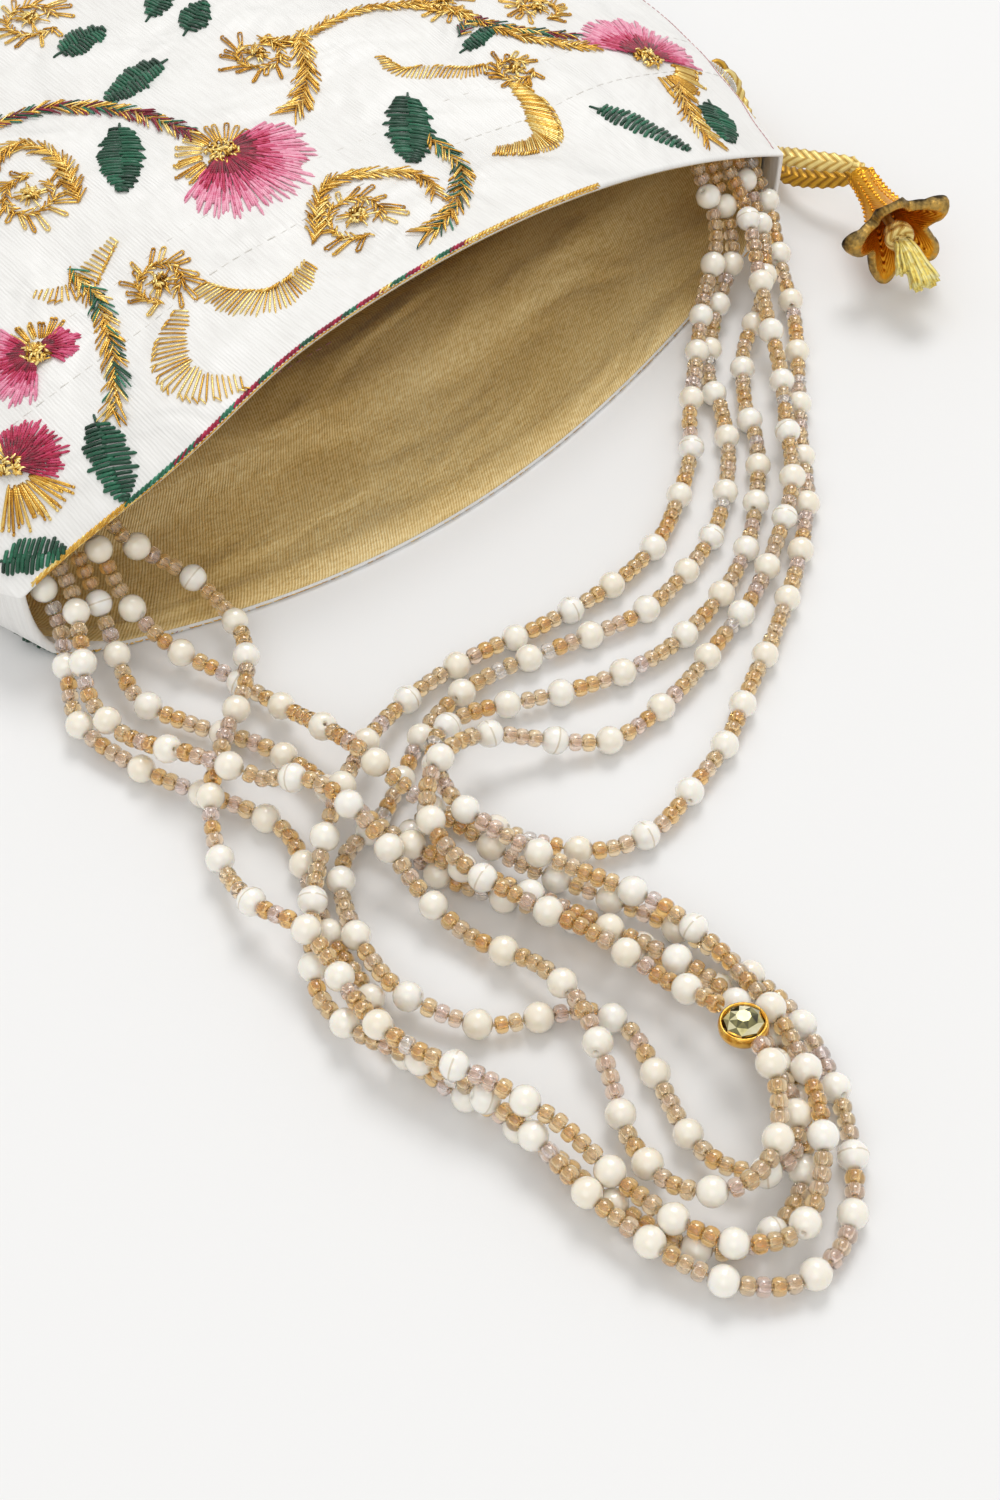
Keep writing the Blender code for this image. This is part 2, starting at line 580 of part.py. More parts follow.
def build():
    for old in list(bpy.data.objects):
        bpy.data.objects.remove(old, do_unlink=True)
    satin = paint("white satin", (0.90, 0.89, 0.87), 0.45)
    tissue = paint("gold tissue lining", (0.62, 0.50, 0.25), 0.40, 0.3)
    braid = paint("gold braid", (0.70, 0.47, 0.10), 0.35, 0.8)
    metal = paint("stamped brass", (0.72, 0.43, 0.06), 0.25, 1.0)
    bead = paint("pearl and amber beads", (0.85, 0.76, 0.60), 0.20)
    pink = paint("pink thread", (0.72, 0.20, 0.33), 0.50)
    green = paint("green thread", (0.02, 0.20, 0.12), 0.50)
    addPouch(satin, tissue)
    addTube("drawstring", drawstringLine(), CORD_DIAMETER, braid)
    addFlower(metal, braid)
    addHandle(bead, satin, metal)
    addEmbroidery(pink, green)


build()
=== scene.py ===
import math
import random

import bmesh
import bpy
import numpy as np
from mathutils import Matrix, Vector


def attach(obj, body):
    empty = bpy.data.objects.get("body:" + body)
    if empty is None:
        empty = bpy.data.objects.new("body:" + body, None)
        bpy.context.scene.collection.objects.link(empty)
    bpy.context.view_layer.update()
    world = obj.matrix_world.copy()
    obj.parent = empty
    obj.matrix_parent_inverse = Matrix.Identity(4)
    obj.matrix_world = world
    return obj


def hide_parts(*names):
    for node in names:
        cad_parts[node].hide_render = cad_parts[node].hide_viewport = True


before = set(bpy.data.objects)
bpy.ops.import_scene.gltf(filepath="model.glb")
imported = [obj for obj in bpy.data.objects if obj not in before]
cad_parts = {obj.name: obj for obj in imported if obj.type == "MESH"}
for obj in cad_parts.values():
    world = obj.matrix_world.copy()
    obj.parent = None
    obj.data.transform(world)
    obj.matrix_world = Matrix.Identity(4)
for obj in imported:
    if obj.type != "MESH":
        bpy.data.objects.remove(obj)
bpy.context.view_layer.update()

# A satin drawstring pouch lying open, with a handle of beaded strands.
# Places are worked out in millimetres and become metres when a mesh is made.

mm = 0.001


def linear(hexColour):
    values = [int(hexColour[k:k + 2], 16) / 255 for k in (1, 3, 5)]
    return tuple(v / 12.92 if v <= 0.04045 else ((v + 0.055) / 1.055) ** 2.4 for v in values) + (1.0,)


def addNode(tree, kind, inputs=None, **settings):
    node = tree.nodes.new(kind)
    for key, value in settings.items():
        setattr(node, key, value)
    for key, value in (inputs or {}).items():
        socket = node.inputs[key]
        if isinstance(value, bpy.types.NodeSocket):
            tree.links.new(value, socket)
        else:
            socket.default_value = value
    return node


class Paint:
    # one material and short ways to wire its nodes; its textures lie on the piece's own coordinates, on those that
    # Blender generates, or on the UV map named cloth
    def __init__(self, name, where="Object", **surface):
        self.material = bpy.data.materials.new(name)
        self.material.use_nodes = True
        self.tree = self.material.node_tree
        self.shader = self.tree.nodes["Principled BSDF"]
        for key, value in surface.items():
            socket = self.shader.inputs[key.replace("_", " ")]
            socket.default_value = linear(value) if isinstance(value, str) else value
        if where == "cloth":
            self.place = addNode(self.tree, "ShaderNodeUVMap", uv_map="cloth").outputs["UV"]
        else:
            self.place = addNode(self.tree, "ShaderNodeTexCoord").outputs[where]

    def noise(self, scale, stretch=None, **more):
        place = self.place
        if stretch:
            place = addNode(self.tree, "ShaderNodeMapping", {"Vector": place, "Scale": stretch}).outputs[0]
        return addNode(self.tree, "ShaderNodeTexNoise", {"Vector": place, "Scale": scale, **more}).outputs["Fac"]

    def wave(self, scale, direction, **more):
        values = {key.replace("_", " "): value for key, value in more.items()}
        return addNode(self.tree, "ShaderNodeTexWave", {"Vector": self.place, "Scale": scale, **values},
                       bands_direction=direction).outputs["Fac"]

    def value(self, name):
        return addNode(self.tree, "ShaderNodeAttribute", attribute_name=name).outputs["Fac"]

    def maths(self, operation, *values):
        return addNode(self.tree, "ShaderNodeMath", dict(enumerate(values)), operation=operation).outputs[0]

    def spread(self, value, fromMin, fromMax, toMin=0.0, toMax=1.0, **settings):
        limits = {"From Min": fromMin, "From Max": fromMax, "To Min": toMin, "To Max": toMax}
        return addNode(self.tree, "ShaderNodeMapRange", {"Value": value, **limits}, **settings).outputs["Result"]

    def ramp(self, factor, *stops):
        node = addNode(self.tree, "ShaderNodeValToRGB", {"Fac": factor})
        ramp = node.color_ramp
        while len(ramp.elements) < len(stops):
            ramp.elements.new(0.5)
        for element, (place, colour) in zip(ramp.elements, stops):
            element.position = place
            element.color = linear(colour)
        return node.outputs["Color"]

    def wire(self, socket, value):
        self.tree.links.new(value, self.shader.inputs[socket])

    def colour(self, factor, *stops):
        self.wire("Base Color", self.ramp(factor, *stops))

    def relief(self, height, strength, distance, **under):
        values = {"Height": height, "Strength": strength, "Distance": distance, **under}
        normal = addNode(self.tree, "ShaderNodeBump", values).outputs["Normal"]
        self.wire("Normal", normal)
        return normal


def addPiece(name, points, faces, material, smooth=True):
    mesh = bpy.data.meshes.new(name)
    mesh.from_pydata([Vector(p) * mm for p in points], [], faces)
    mesh.validate()
    if material:
        mesh.materials.append(material)
    if smooth and faces:
        mesh.shade_smooth()
    piece = bpy.data.objects.new(name, mesh)
    bpy.context.collection.objects.link(piece)
    return piece


def addValues(piece, domain="POINT", **layers):
    # one number on every point or face, for the material to read
    for label, values in layers.items():
        piece.data.attributes.new(label, "FLOAT", domain).data.foreach_set("value", values)


def faceOutwards(piece, mergeDistance=0.0):
    work = bmesh.new()
    work.from_mesh(piece.data)
    if mergeDistance:
        bmesh.ops.remove_doubles(work, verts=work.verts, dist=mergeDistance * mm)
    bmesh.ops.recalc_face_normals(work, faces=work.faces)
    work.to_mesh(piece.data)
    work.free()
    return piece


def ringFaces(rings, count, capStart=True, capEnd=True):
    faces = []
    for r in range(rings - 1):
        for c in range(count):
            n = (c + 1) % count
            faces.append((r * count + c, r * count + n, (r + 1) * count + n, (r + 1) * count + c))
    if capStart:
        faces.append(tuple(range(count - 1, -1, -1)))
    if capEnd:
        faces.append(tuple(range((rings - 1) * count, rings * count)))
    return faces


def applyTree(piece, tree, values):
    # runs a Geometry Nodes tree on a piece and keeps the result as a plain mesh
    modifier = piece.modifiers.new("made", "NODES")
    modifier.node_group = tree
    sockets = {item.name: item.identifier for item in tree.interface.items_tree if item.in_out == "INPUT"}
    for name, value in values.items():
        modifier[sockets[name]] = value
    bpy.context.view_layer.update()
    evaluated = piece.evaluated_get(bpy.context.evaluated_depsgraph_get())
    mesh = bpy.data.meshes.new_from_object(evaluated, preserve_all_data_layers=True,
                                           depsgraph=bpy.context.evaluated_depsgraph_get())
    piece.modifiers.remove(modifier)
    piece.data = mesh
    mesh.name = piece.name
    return piece


def declare(piece, slot, *nodes):
    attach(piece, "root")
    if nodes:
        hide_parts(*nodes)


def headings(points):
    ahead = np.gradient(points, axis=0)
    return ahead / np.linalg.norm(ahead, axis=1)[:, None]


def squareTo(axis):
    # two directions across an axis, the first of them level
    side = axis.cross(Vector((0, 0, 1))).normalized()
    return side, side.cross(axis)


def unit(turn):
    return np.array((math.cos(turn), math.sin(turn)))


def leftOf(heading):
    return np.array((-heading[1], heading[0]))


# the camera, the lamps and the floor

view = {"place": (-0.2508, -0.4227, 0.3940), "aim": (-0.0506, -0.1889, 0.0), "lens": 58.32, "sensor": 36.0,
        "floor": "#ededed", "world": 0.74, "keyPlace": (1.25, 0.95, 2.6), "keySize": 1.5, "keyPower": 36.0,
        "fillPlace": (-1.4, -1.2, 2.0), "fillSize": 2.2, "fillPower": 9.0, "lampAim": (0.0, -0.12, 0.0),
        "floorHalf": 6000.0, "floorSunk": 0.05}


def aimAt(thing, place, target):
    thing.location = place
    thing.rotation_euler = (Vector(target) - Vector(place)).to_track_quat("-Z", "Y").to_euler()


def addView():
    camera = bpy.data.objects.new("camera", bpy.data.cameras.new("camera"))
    bpy.context.collection.objects.link(camera)
    camera.data.lens = view["lens"]
    camera.data.sensor_width = view["sensor"]
    camera.data.sensor_fit = "AUTO"
    camera.data.clip_start = 0.01
    aimAt(camera, view["place"], view["aim"])
    bpy.context.scene.camera = camera
    bpy.context.scene.view_settings.view_transform = "Standard"
    for label in ("key", "fill"):
        data = bpy.data.lights.new(label, "AREA")
        data.shape = "DISK"
        data.size = view[label + "Size"]
        data.energy = view[label + "Power"]
        lamp = bpy.data.objects.new(label, data)
        bpy.context.collection.objects.link(lamp)
        aimAt(lamp, view[label + "Place"], view["lampAim"])


def addWorld():
    world = bpy.data.worlds.new("studio")
    world.use_nodes = True
    bpy.context.scene.world = world
    tree = world.node_tree
    tree.nodes.clear()
    rays = addNode(tree, "ShaderNodeLightPath")
    soft = addNode(tree, "ShaderNodeBackground", {"Color": linear("#fbfaf8"), "Strength": view["world"]})
    seen = addNode(tree, "ShaderNodeBackground", {"Color": linear("#f8f8f8"), "Strength": 1.0})
    mix = addNode(tree, "ShaderNodeMixShader", {0: rays.outputs["Is Camera Ray"], 1: soft.outputs[0],
                                                2: seen.outputs[0]})
    addNode(tree, "ShaderNodeOutputWorld", {"Surface": mix.outputs[0]})


def addFloor():
    # matt painted board, pale enough that the light on it comes out almost white
    paint = Paint("matt white painted board", "Generated", Roughness=0.9, Specular_IOR_Level=0.1)
    paint.colour(paint.noise(3.0, Detail=1.0), (0.3, view["floor"]), (0.7, "#f6f6f6"))
    half, sunk = view["floorHalf"], view["floorSunk"]
    corners = [(x, y, -sunk) for x, y in ((-half, -half), (half, -half), (half, half), (-half, half))]
    addPiece("floor", corners, [(0, 1, 2, 3)], paint.material, smooth=False)


addView()
addWorld()
addFloor()
print("camera, lamps and floor are set")

# the pouch as one nested surface, the same as the frame's: across runs from -1 to 1, depth is
# millimetres from the rim, inset is millimetres from the outermost face

pouch = {"length": 240.0, "mouthHalf": 110.0, "bellyHalf": 128.0, "bellyDepth": 70.0, "bottomCorner": 70.0,
         "lipReach": 26.0, "upperReach": 3.0, "cornerHeight": 20.0, "seamHeight": 14.0, "seamFade": 25.0,
         "archRise": 31.0, "bellyRise": 34.0, "flatShare": 0.36, "flatDepth": 0.72, "fold": 1.0,
         "satin": 0.8, "hem": 1.7, "hemDepth": 5.0, "hemTaper": 2.0, "lining": 0.4, "liningOut": 1.1,
         "casingDepth": 37.0, "casingHalf": 6.0, "casingRamp": 7.0, "cord": 3.2, "cordInset": 3.7}
mouthY = -(pouch["length"] - pouch["lipReach"]) / 2


def halfWidth(depth):
    share = min(max(depth, 0.0) / pouch["bellyDepth"], 1.0)
    corner = pouch["bottomCorner"]
    width = pouch["mouthHalf"] + (pouch["bellyHalf"] - pouch["mouthHalf"]) * math.sin(math.pi / 2 * share)
    past = max(depth - (pouch["length"] - corner), 0.0)
    return width - corner + math.sqrt(max(corner ** 2 - past ** 2, 0.0))


def seamHeight(depth):
    drop = pouch["cornerHeight"] - pouch["seamHeight"]
    return pouch["seamHeight"] + drop * math.exp(-max(depth, 0.0) / pouch["seamFade"])


def lipReach(across):
    share = min(max((across + 1) / 2, 0.0), 1.0)
    return pouch["lipReach"] * math.sin(math.pi * share ** 0.85)


def upperPoint(across, depth, inset):
    share = max(depth, 0.0) / pouch["length"]
    rise = pouch["archRise"] + (pouch["bellyRise"] - pouch["archRise"]) * min(max(depth, 0.0) / pouch["bellyDepth"], 1)
    sweep = 0.5 + 0.5 * math.exp(-max(depth, 0.0) / 18.0)
    arch = max(1.0 - across ** 2, 0.0) ** sweep
    close = max(1.0 - share ** 3.2, 0.0) ** 0.6
    fold = pouch["fold"] * math.sin(5.5 * across + 2.2) * 4 * share * (1 - share) * (1 - across ** 2)
    lean = pouch["upperReach"] * max(1 - across ** 2, 0.0) * (1 - share) ** 6
    x = across * (halfWidth(depth) - inset)
    y = mouthY + depth * (pouch["length"] - inset) / pouch["length"] - lean
    return (x, y, seamHeight(depth) + 0.15 + (rise - inset) * arch * close + fold)


def lowerPoint(across, depth, inset):
    share = max(depth, 0.0) / pouch["length"]
    seam = seamHeight(depth) - 0.15
    square = 8.0 + 22.0 * math.exp(-max(depth, 0.0) / 20.0)
    side = max((abs(across) - pouch["flatShare"]) / (1 - pouch["flatShare"]), 0.0)
    end = max((share - pouch["flatDepth"]) / (1 - pouch["flatDepth"]), 0.0)
    drop = math.sqrt(max(1 - side ** square, 0.0)) * math.sqrt(max(1 - end ** 3, 0.0))
    x = across * (halfWidth(depth) - inset)
    y = mouthY + depth * (pouch["length"] - inset) / pouch["length"] - lipReach(across) * (1 - share) ** 4
    return (x, y, seam - (seam - inset) * drop)


def bump(distance, reach):
    return np.cos(np.clip(np.abs(distance) / reach, 0, 1) * math.pi / 2) ** 2


# the handle: five strands of pearls and seed beads on thread, laid one over another on the floor

strand = {"seed": 3.8, "seedLength": 2.7, "pearl": 6.0, "height": 3.0, "apart": 4.4, "lipLift": 2.4,
          "liftFade": 14.0, "dropFade": 12.0, "tabZone": 10.0, "thread": 0.55, "layOrder": (5, 2, 1, 3, 4),
          "divisions": 12, "beadStep": 0.25, "tabDepth": 6.0, "tabWidth": 7.0, "tabThick": 2.0, "tabInset": 2.1,
          "tabClearance": 3.2, "goldPlace": (-65.0, -277.0), "goldStrand": 4, "goldSize": 9.6,
          "goldLength": 8.0, "seedRuns": (3, 3, 4, 3, 2, 3), "tabHalf": 11.0,
          "tabMiddles": {"right": 93.5, "left": -94.0}}
strandRoutes = {
    1: ((84.5, -102), (84.3, -109), (79, -116), (70, -122), (62, -129), (52, -138), (42, -147), (36, -154), (25, -162),
        (12, -169), (-3, -172), (-23, -171), (-40, -168), (-55, -168), (-69, -172), (-81, -179), (-92, -186),
        (-102, -194), (-110, -203), (-117, -214), (-117, -226), (-113, -237), (-109, -250), (-107, -263),
        (-107, -277), (-105, -291), (-100, -305), (-90, -314), (-78, -314), (-68, -307), (-60, -297),
        (-54, -285), (-51, -272), (-52, -258), (-55, -245), (-61, -230), (-68, -216), (-72, -203),
        (-76, -190), (-79, -178), (-79, -165), (-80, -152), (-83, -139), (-88, -127), (-90, -115),
        (-89.8, -108), (-89.8, -102)),
    2: ((89, -102), (88.8, -109), (84, -117), (75, -122.5), (64, -131), (55, -140), (51, -148), (41, -161),
        (25, -174), (9, -180), (-5, -182), (-20, -179), (-36, -175), (-48, -174), (-61, -177), (-73, -184),
        (-83, -189), (-92, -191), (-99, -198), (-104, -210), (-105, -224), (-98, -238), (-88, -244),
        (-80, -249), (-77, -257), (-80, -268), (-84, -280), (-84, -290), (-78, -297), (-70, -294),
        (-64, -284), (-60, -272), (-60, -259), (-64, -246), (-69, -233), (-75, -219), (-81, -205), (-85, -191),
        (-86, -179), (-86, -168), (-89, -157), (-96, -145), (-101, -132), (-97, -118), (-94.6, -109),
        (-94.3, -102)),
    3: ((98, -102), (97.6, -110), (91, -121), (80, -131), (68, -138), (56, -151), (49, -162), (36, -175),
        (22, -185), (6, -191), (-10, -193), (-26, -190), (-39, -185), (-52, -180), (-62, -182), (-68, -190),
        (-71, -200), (-68, -213), (-62, -226), (-56, -240), (-54, -254), (-55, -267), (-58, -281),
        (-64, -293), (-73, -303), (-84, -308), (-94, -303), (-99, -292), (-101, -279), (-103, -265),
        (-108, -250), (-113, -239), (-115, -228), (-113, -215), (-112, -204), (-115, -192), (-113, -178),
        (-106, -165), (-94, -154), (-82, -145), (-74, -131), (-74, -117),
        (-79, -110), (-84, -106), (-85.3, -102)),
    4: ((93.5, -102), (93.2, -109), (88.5, -118), (83, -127), (76, -137), (68, -150), (57, -163), (45, -177),
        (32, -186), (17, -194), (1, -199), (-14, -203), (-32, -204), (-45, -196), (-56, -190), (-68, -191),
        (-77, -198), (-80, -211), (-76, -225), (-71, -238), (-67, -252), (-65, -265), (-65, -277),
        (-69, -287), (-77, -295), (-87, -296), (-94, -288), (-93, -275), (-87, -262), (-82, -248),
        (-82, -236), (-86, -224), (-88, -212), (-88, -200), (-89, -189), (-91, -179), (-96, -170),
        (-103, -158), (-108, -145), (-110, -130), (-104, -118),
        (-99.3, -109), (-98.8, -102)),
    5: ((102.5, -102), (102, -111), (94, -124), (85.5, -137), (74, -150), (58, -167), (46, -181), (30, -194),
        (12, -205), (-2, -212), (-15, -219), (-28, -223), (-41, -226), (-53, -223), (-61, -214),
        (-67, -203), (-72, -195), (-79, -195), (-82, -204), (-77, -216), (-70, -228), (-64, -241),
        (-60, -254), (-57, -267), (-59, -281), (-67, -293), (-77, -302), (-89, -304), (-98, -298),
        (-103, -285), (-105, -270), (-107, -255), (-111, -243), (-112, -230), (-109, -218), (-107, -206),
        (-104, -196), (-100, -187), (-98, -178), (-101, -168), (-107, -156), (-112, -143), (-114, -130),
        (-109, -119), (-104.2, -110), (-103.3, -102)),
}


def smoothCurve(points, step):
    spots = np.array(points, float)
    spots = np.vstack([spots[:1], spots, spots[-1:]])
    t = np.linspace(0, 1, strand["divisions"], endpoint=False)[:, None]
    parts = []
    for i in range(1, len(spots) - 2):
        a, b, c, d = spots[i - 1], spots[i], spots[i + 1], spots[i + 2]
        parts.append(b + 0.5 * ((c - a) * t + (2 * a - 5 * b + 4 * c - d) * t ** 2
                                + (3 * b - a - 3 * c + d) * t ** 3))
    parts.append(spots[-1:])
    return evenLine(np.vstack(parts), step)


def evenLine(line, step):
    line = np.array(line, float)
    run = np.concatenate([[0.0], np.cumsum(np.linalg.norm(np.diff(line, axis=0), axis=1))])
    even = np.linspace(0.0, run[-1], max(int(round(run[-1] / step)), 1) + 1)
    return np.column_stack([np.interp(even, run, column) for column in line.T]), even


def tabUnderside(place):
    across = (abs(place[0]) + strand["seed"] / 2) / halfWidth(strand["tabDepth"])
    return upperPoint(math.copysign(across, place[0]), strand["tabDepth"] - strand["tabWidth"] / 2,
                      strand["tabInset"] + strand["tabThick"])[2]


def restingHeight(plan):
    lip = np.array([lipReach(x / pouch["mouthHalf"]) for x in plan[:, 0]])
    inside = np.clip((plan[:, 1] - mouthY + lip + 3.0) / 6.0, 0, 1)
    return strand["height"] + strand["lipLift"] * inside


def liftOver(plan, below, belowHeight, allowed, apart):
    reach = np.hypot(plan[:, :1] - below[:, 0], plan[:, 1:] - below[:, 1])
    rise = np.sqrt(np.clip(apart ** 2 - reach ** 2, 0, None))
    return np.where((reach < apart) & allowed, belowHeight + rise, 0.0).max(axis=1)


def layStrands():
    # each strand lies on the floor and climbs in a long low hump over those that lie there before it
    laid = {}
    low = strand["height"]
    for number in strand["layOrder"]:
        plan, run = smoothCurve(strandRoutes[number], 1.0)
        height = restingHeight(plan)
        drop = np.zeros(len(run))
        for away, place in ((run, plan[0]), (run[-1] - run, plan[-1])):
            start = tabUnderside(place) - strand["tabClearance"]
            drop = np.maximum(drop, (start - low) * np.exp(-away / strand["dropFade"]))
        free = (np.minimum(run, run[-1] - run) > strand["tabZone"])[:, None]
        if laid:
            others = np.vstack(list(laid.values()))
            height = np.maximum(height, liftOver(plan, others, others[:, 2], free, strand["apart"]))
        if number == strand["goldStrand"]:
            spot = np.argmin(np.hypot(*(plan - strand["goldPlace"]).T))
            near = (np.abs(run - run[spot]) <= strand["goldLength"] / 2 + 1)[:, None]
            apart = (strand["goldSize"] + strand["seed"]) / 2 + 0.8
            height = np.maximum(height, liftOver(plan, others, others[:, 2], near, apart))
        soften = bump(run[:, None] - run, strand["liftFade"])
        own = (run[:, None] - run) > strand["liftFade"]
        for _ in range(4):
            height = low + ((height - low) * soften).max(axis=1)
            height = np.maximum(height, liftOver(plan, plan, height, own, strand["apart"]))
        lift = ((height - low) * soften).max(axis=1)
        laid[number] = np.column_stack([plan, low + np.cbrt(lift ** 3 + drop ** 3)])
    return laid


laidStrands = layStrands()


def addThread(number, line):
    # a limp twisted thread through every bead, seen only in the small gaps between them
    points, run = evenLine(line, 4.0)
    curve = bpy.data.curves.new("strand_thread_%d" % number, "CURVE")
    curve.dimensions = "3D"
    curve.bevel_depth = strand["thread"] / 2 * mm
    curve.bevel_resolution = 1
    curve.use_fill_caps = True
    spline = curve.splines.new("POLY")
    spline.points.add(len(points) - 1)
    for spot, place in zip(spline.points, points):
        spot.co = (*(place * mm), 1.0)
    curve.materials.append(twine.material)
    piece = bpy.data.objects.new(curve.name, curve)
    bpy.context.collection.objects.link(piece)
    return piece, points, run[-1]


# twisted polyester thread: fine slanting plies give it a dull rope look
twine = Paint("twisted polyester thread", Roughness=0.6, Base_Color="#d9c49a")
twine.relief(twine.wave(900.0, "DIAGONAL", Distortion=1.0), 0.5, 0.0001)


def pearlMaterial():
    # moulded acrylic pearl under a nacre lacquer: a milky body, a soft highlight and a faint warm shade
    paint = Paint("nacre lacquered acrylic pearl", Roughness=0.24, Subsurface_Weight=0.35, Subsurface_Scale=0.0012,
                  Subsurface_Radius=(1.0, 0.75, 0.5), Coat_Weight=1.0, Coat_Roughness=0.2, Coat_IOR=1.75,
                  Sheen_Weight=0.1, Sheen_Roughness=0.4)
    tint = paint.value("tint")
    cloud = paint.maths("MULTIPLY", paint.maths("ADD", paint.noise(260.0), tint), 0.5)
    body = paint.ramp(cloud, (0.2, "#f6ebd6"), (0.5, "#faf2e4"), (0.8, "#fdf9f1"))
    # the fine seam that the mould leaves round some pearls
    seamed = paint.maths("GREATER_THAN", tint, 0.84)
    line = paint.maths("MULTIPLY", paint.spread(paint.value("seam"), 0.93, 0.99), seamed)
    mixed = addNode(paint.tree, "ShaderNodeMix", {"Factor": line, "A": body, "B": linear("#ded3c0")},
                    data_type="RGBA")
    paint.wire("Base Color", mixed.outputs["Result"])
    paint.relief(paint.noise(2200.0), 0.15, 0.0001)
    return paint.material


def seedMaterial():
    # drawn glass, amber to champagne and rose, with a fired lustre that gives each bead its own tone
    paint = Paint("lustred amber seed bead glass", Roughness=0.05, IOR=1.47, Transmission_Weight=0.86,
                  Coat_Weight=1.0, Coat_Roughness=0.05, Coat_IOR=1.6)
    tone = paint.maths("ADD", paint.value("tint"), paint.spread(paint.noise(420.0), 0.3, 0.7, -0.14, 0.14))
    paint.colour(tone, (0.0, "#ffcf7c"), (0.25, "#ffdd9e"), (0.5, "#ffe9c2"), (0.72, "#fde5d6"), (0.88, "#faeae6"),
                 (1.0, "#fffcf8"))
    paint.relief(paint.noise(1500.0, Detail=1.0), 0.12, 0.0001)
    return paint.material


def layingTree(name, axis, facing=False):
    # sets one small shape on every point of a mesh, with one axis along the point's heading
    tree = bpy.data.node_groups.new(name, "GeometryNodeTree")
    for label, way, kind in (("Geometry", "INPUT", "Geometry"), ("Shape", "INPUT", "Object"),
                             ("Material", "INPUT", "Material"), ("Geometry", "OUTPUT", "Geometry")):
        tree.interface.new_socket(label, in_out=way, socket_type="NodeSocket" + kind)

    def named(label):
        return addNode(tree, "GeometryNodeInputNamedAttribute", {"Name": label},
                       data_type="FLOAT_VECTOR").outputs[0]

    given = addNode(tree, "NodeGroupInput")
    shape = addNode(tree, "GeometryNodeObjectInfo", {"Object": given.outputs["Shape"]})
    turn = addNode(tree, "FunctionNodeAlignRotationToVector", {"Vector": named("heading")}, axis=axis)
    if facing:
        turn = addNode(tree, "FunctionNodeAlignRotationToVector",
                       {"Rotation": turn.outputs[0], "Vector": named("facing")}, axis="Z", pivot_axis="X")
    spots = addNode(tree, "GeometryNodeMeshToPoints", {"Mesh": given.outputs["Geometry"]})
    laid = addNode(tree, "GeometryNodeInstanceOnPoints", {
        "Points": spots.outputs[0], "Instance": shape.outputs["Geometry"], "Rotation": turn.outputs[0],
        "Scale": named("size")})
    real = addNode(tree, "GeometryNodeRealizeInstances", {"Geometry": laid.outputs[0]})
    painted = addNode(tree, "GeometryNodeSetMaterial", {"Geometry": real.outputs[0],
                                                        "Material": given.outputs["Material"]})
    addNode(tree, "NodeGroupOutput", {"Geometry": painted.outputs[0]})
    return tree


def turnedShape(name, profile, count, seam=None):
    # a small closed body of revolution about Z from (radius, height) pairs, metres at size 1 mm
    points = [(r * math.cos(2 * math.pi * k / count), r * math.sin(2 * math.pi * k / count), h)
              for r, h in profile for k in range(count)]
    faces = []
    rings = len(profile)
    for r in range(rings):
        for c in range(count):
            n = (c + 1) % count
            q = (r + 1) % rings
            faces.append((r * count + c, r * count + n, q * count + n, q * count + c))
    piece = addPiece(name, points, faces, None)
    faceOutwards(piece, 0.02)
    if seam is not None:
        layer = piece.data.attributes.new("seam", "FLOAT", "POINT")
        for vertex, value in zip(piece.data.vertices, layer.data):
            value.value = 1.0 if abs(vertex.co.z) < seam * mm else 0.0
    return piece


def pearlShape():
    # a sphere with a small hole, 1 across its radius
    steps = (-76, -58, -38, -19, -3, 3, 19, 38, 58, 76)
    profile = [(math.cos(math.radians(a)), math.sin(math.radians(a))) for a in steps]
    profile += [(0.12, 0.8), (0.12, -0.8)]
    return turnedShape("pearl_pattern", profile, 14, seam=0.08)


def seedShape():
    # a short rounded ring with a wide hole
    profile = ((0.36, -0.86), (0.6, -1.0), (0.84, -0.84), (0.97, -0.45), (1.0, 0.0), (0.97, 0.45), (0.84, 0.84),
               (0.6, 1.0), (0.36, 0.86))
    return turnedShape("seed_pattern", profile, 12)


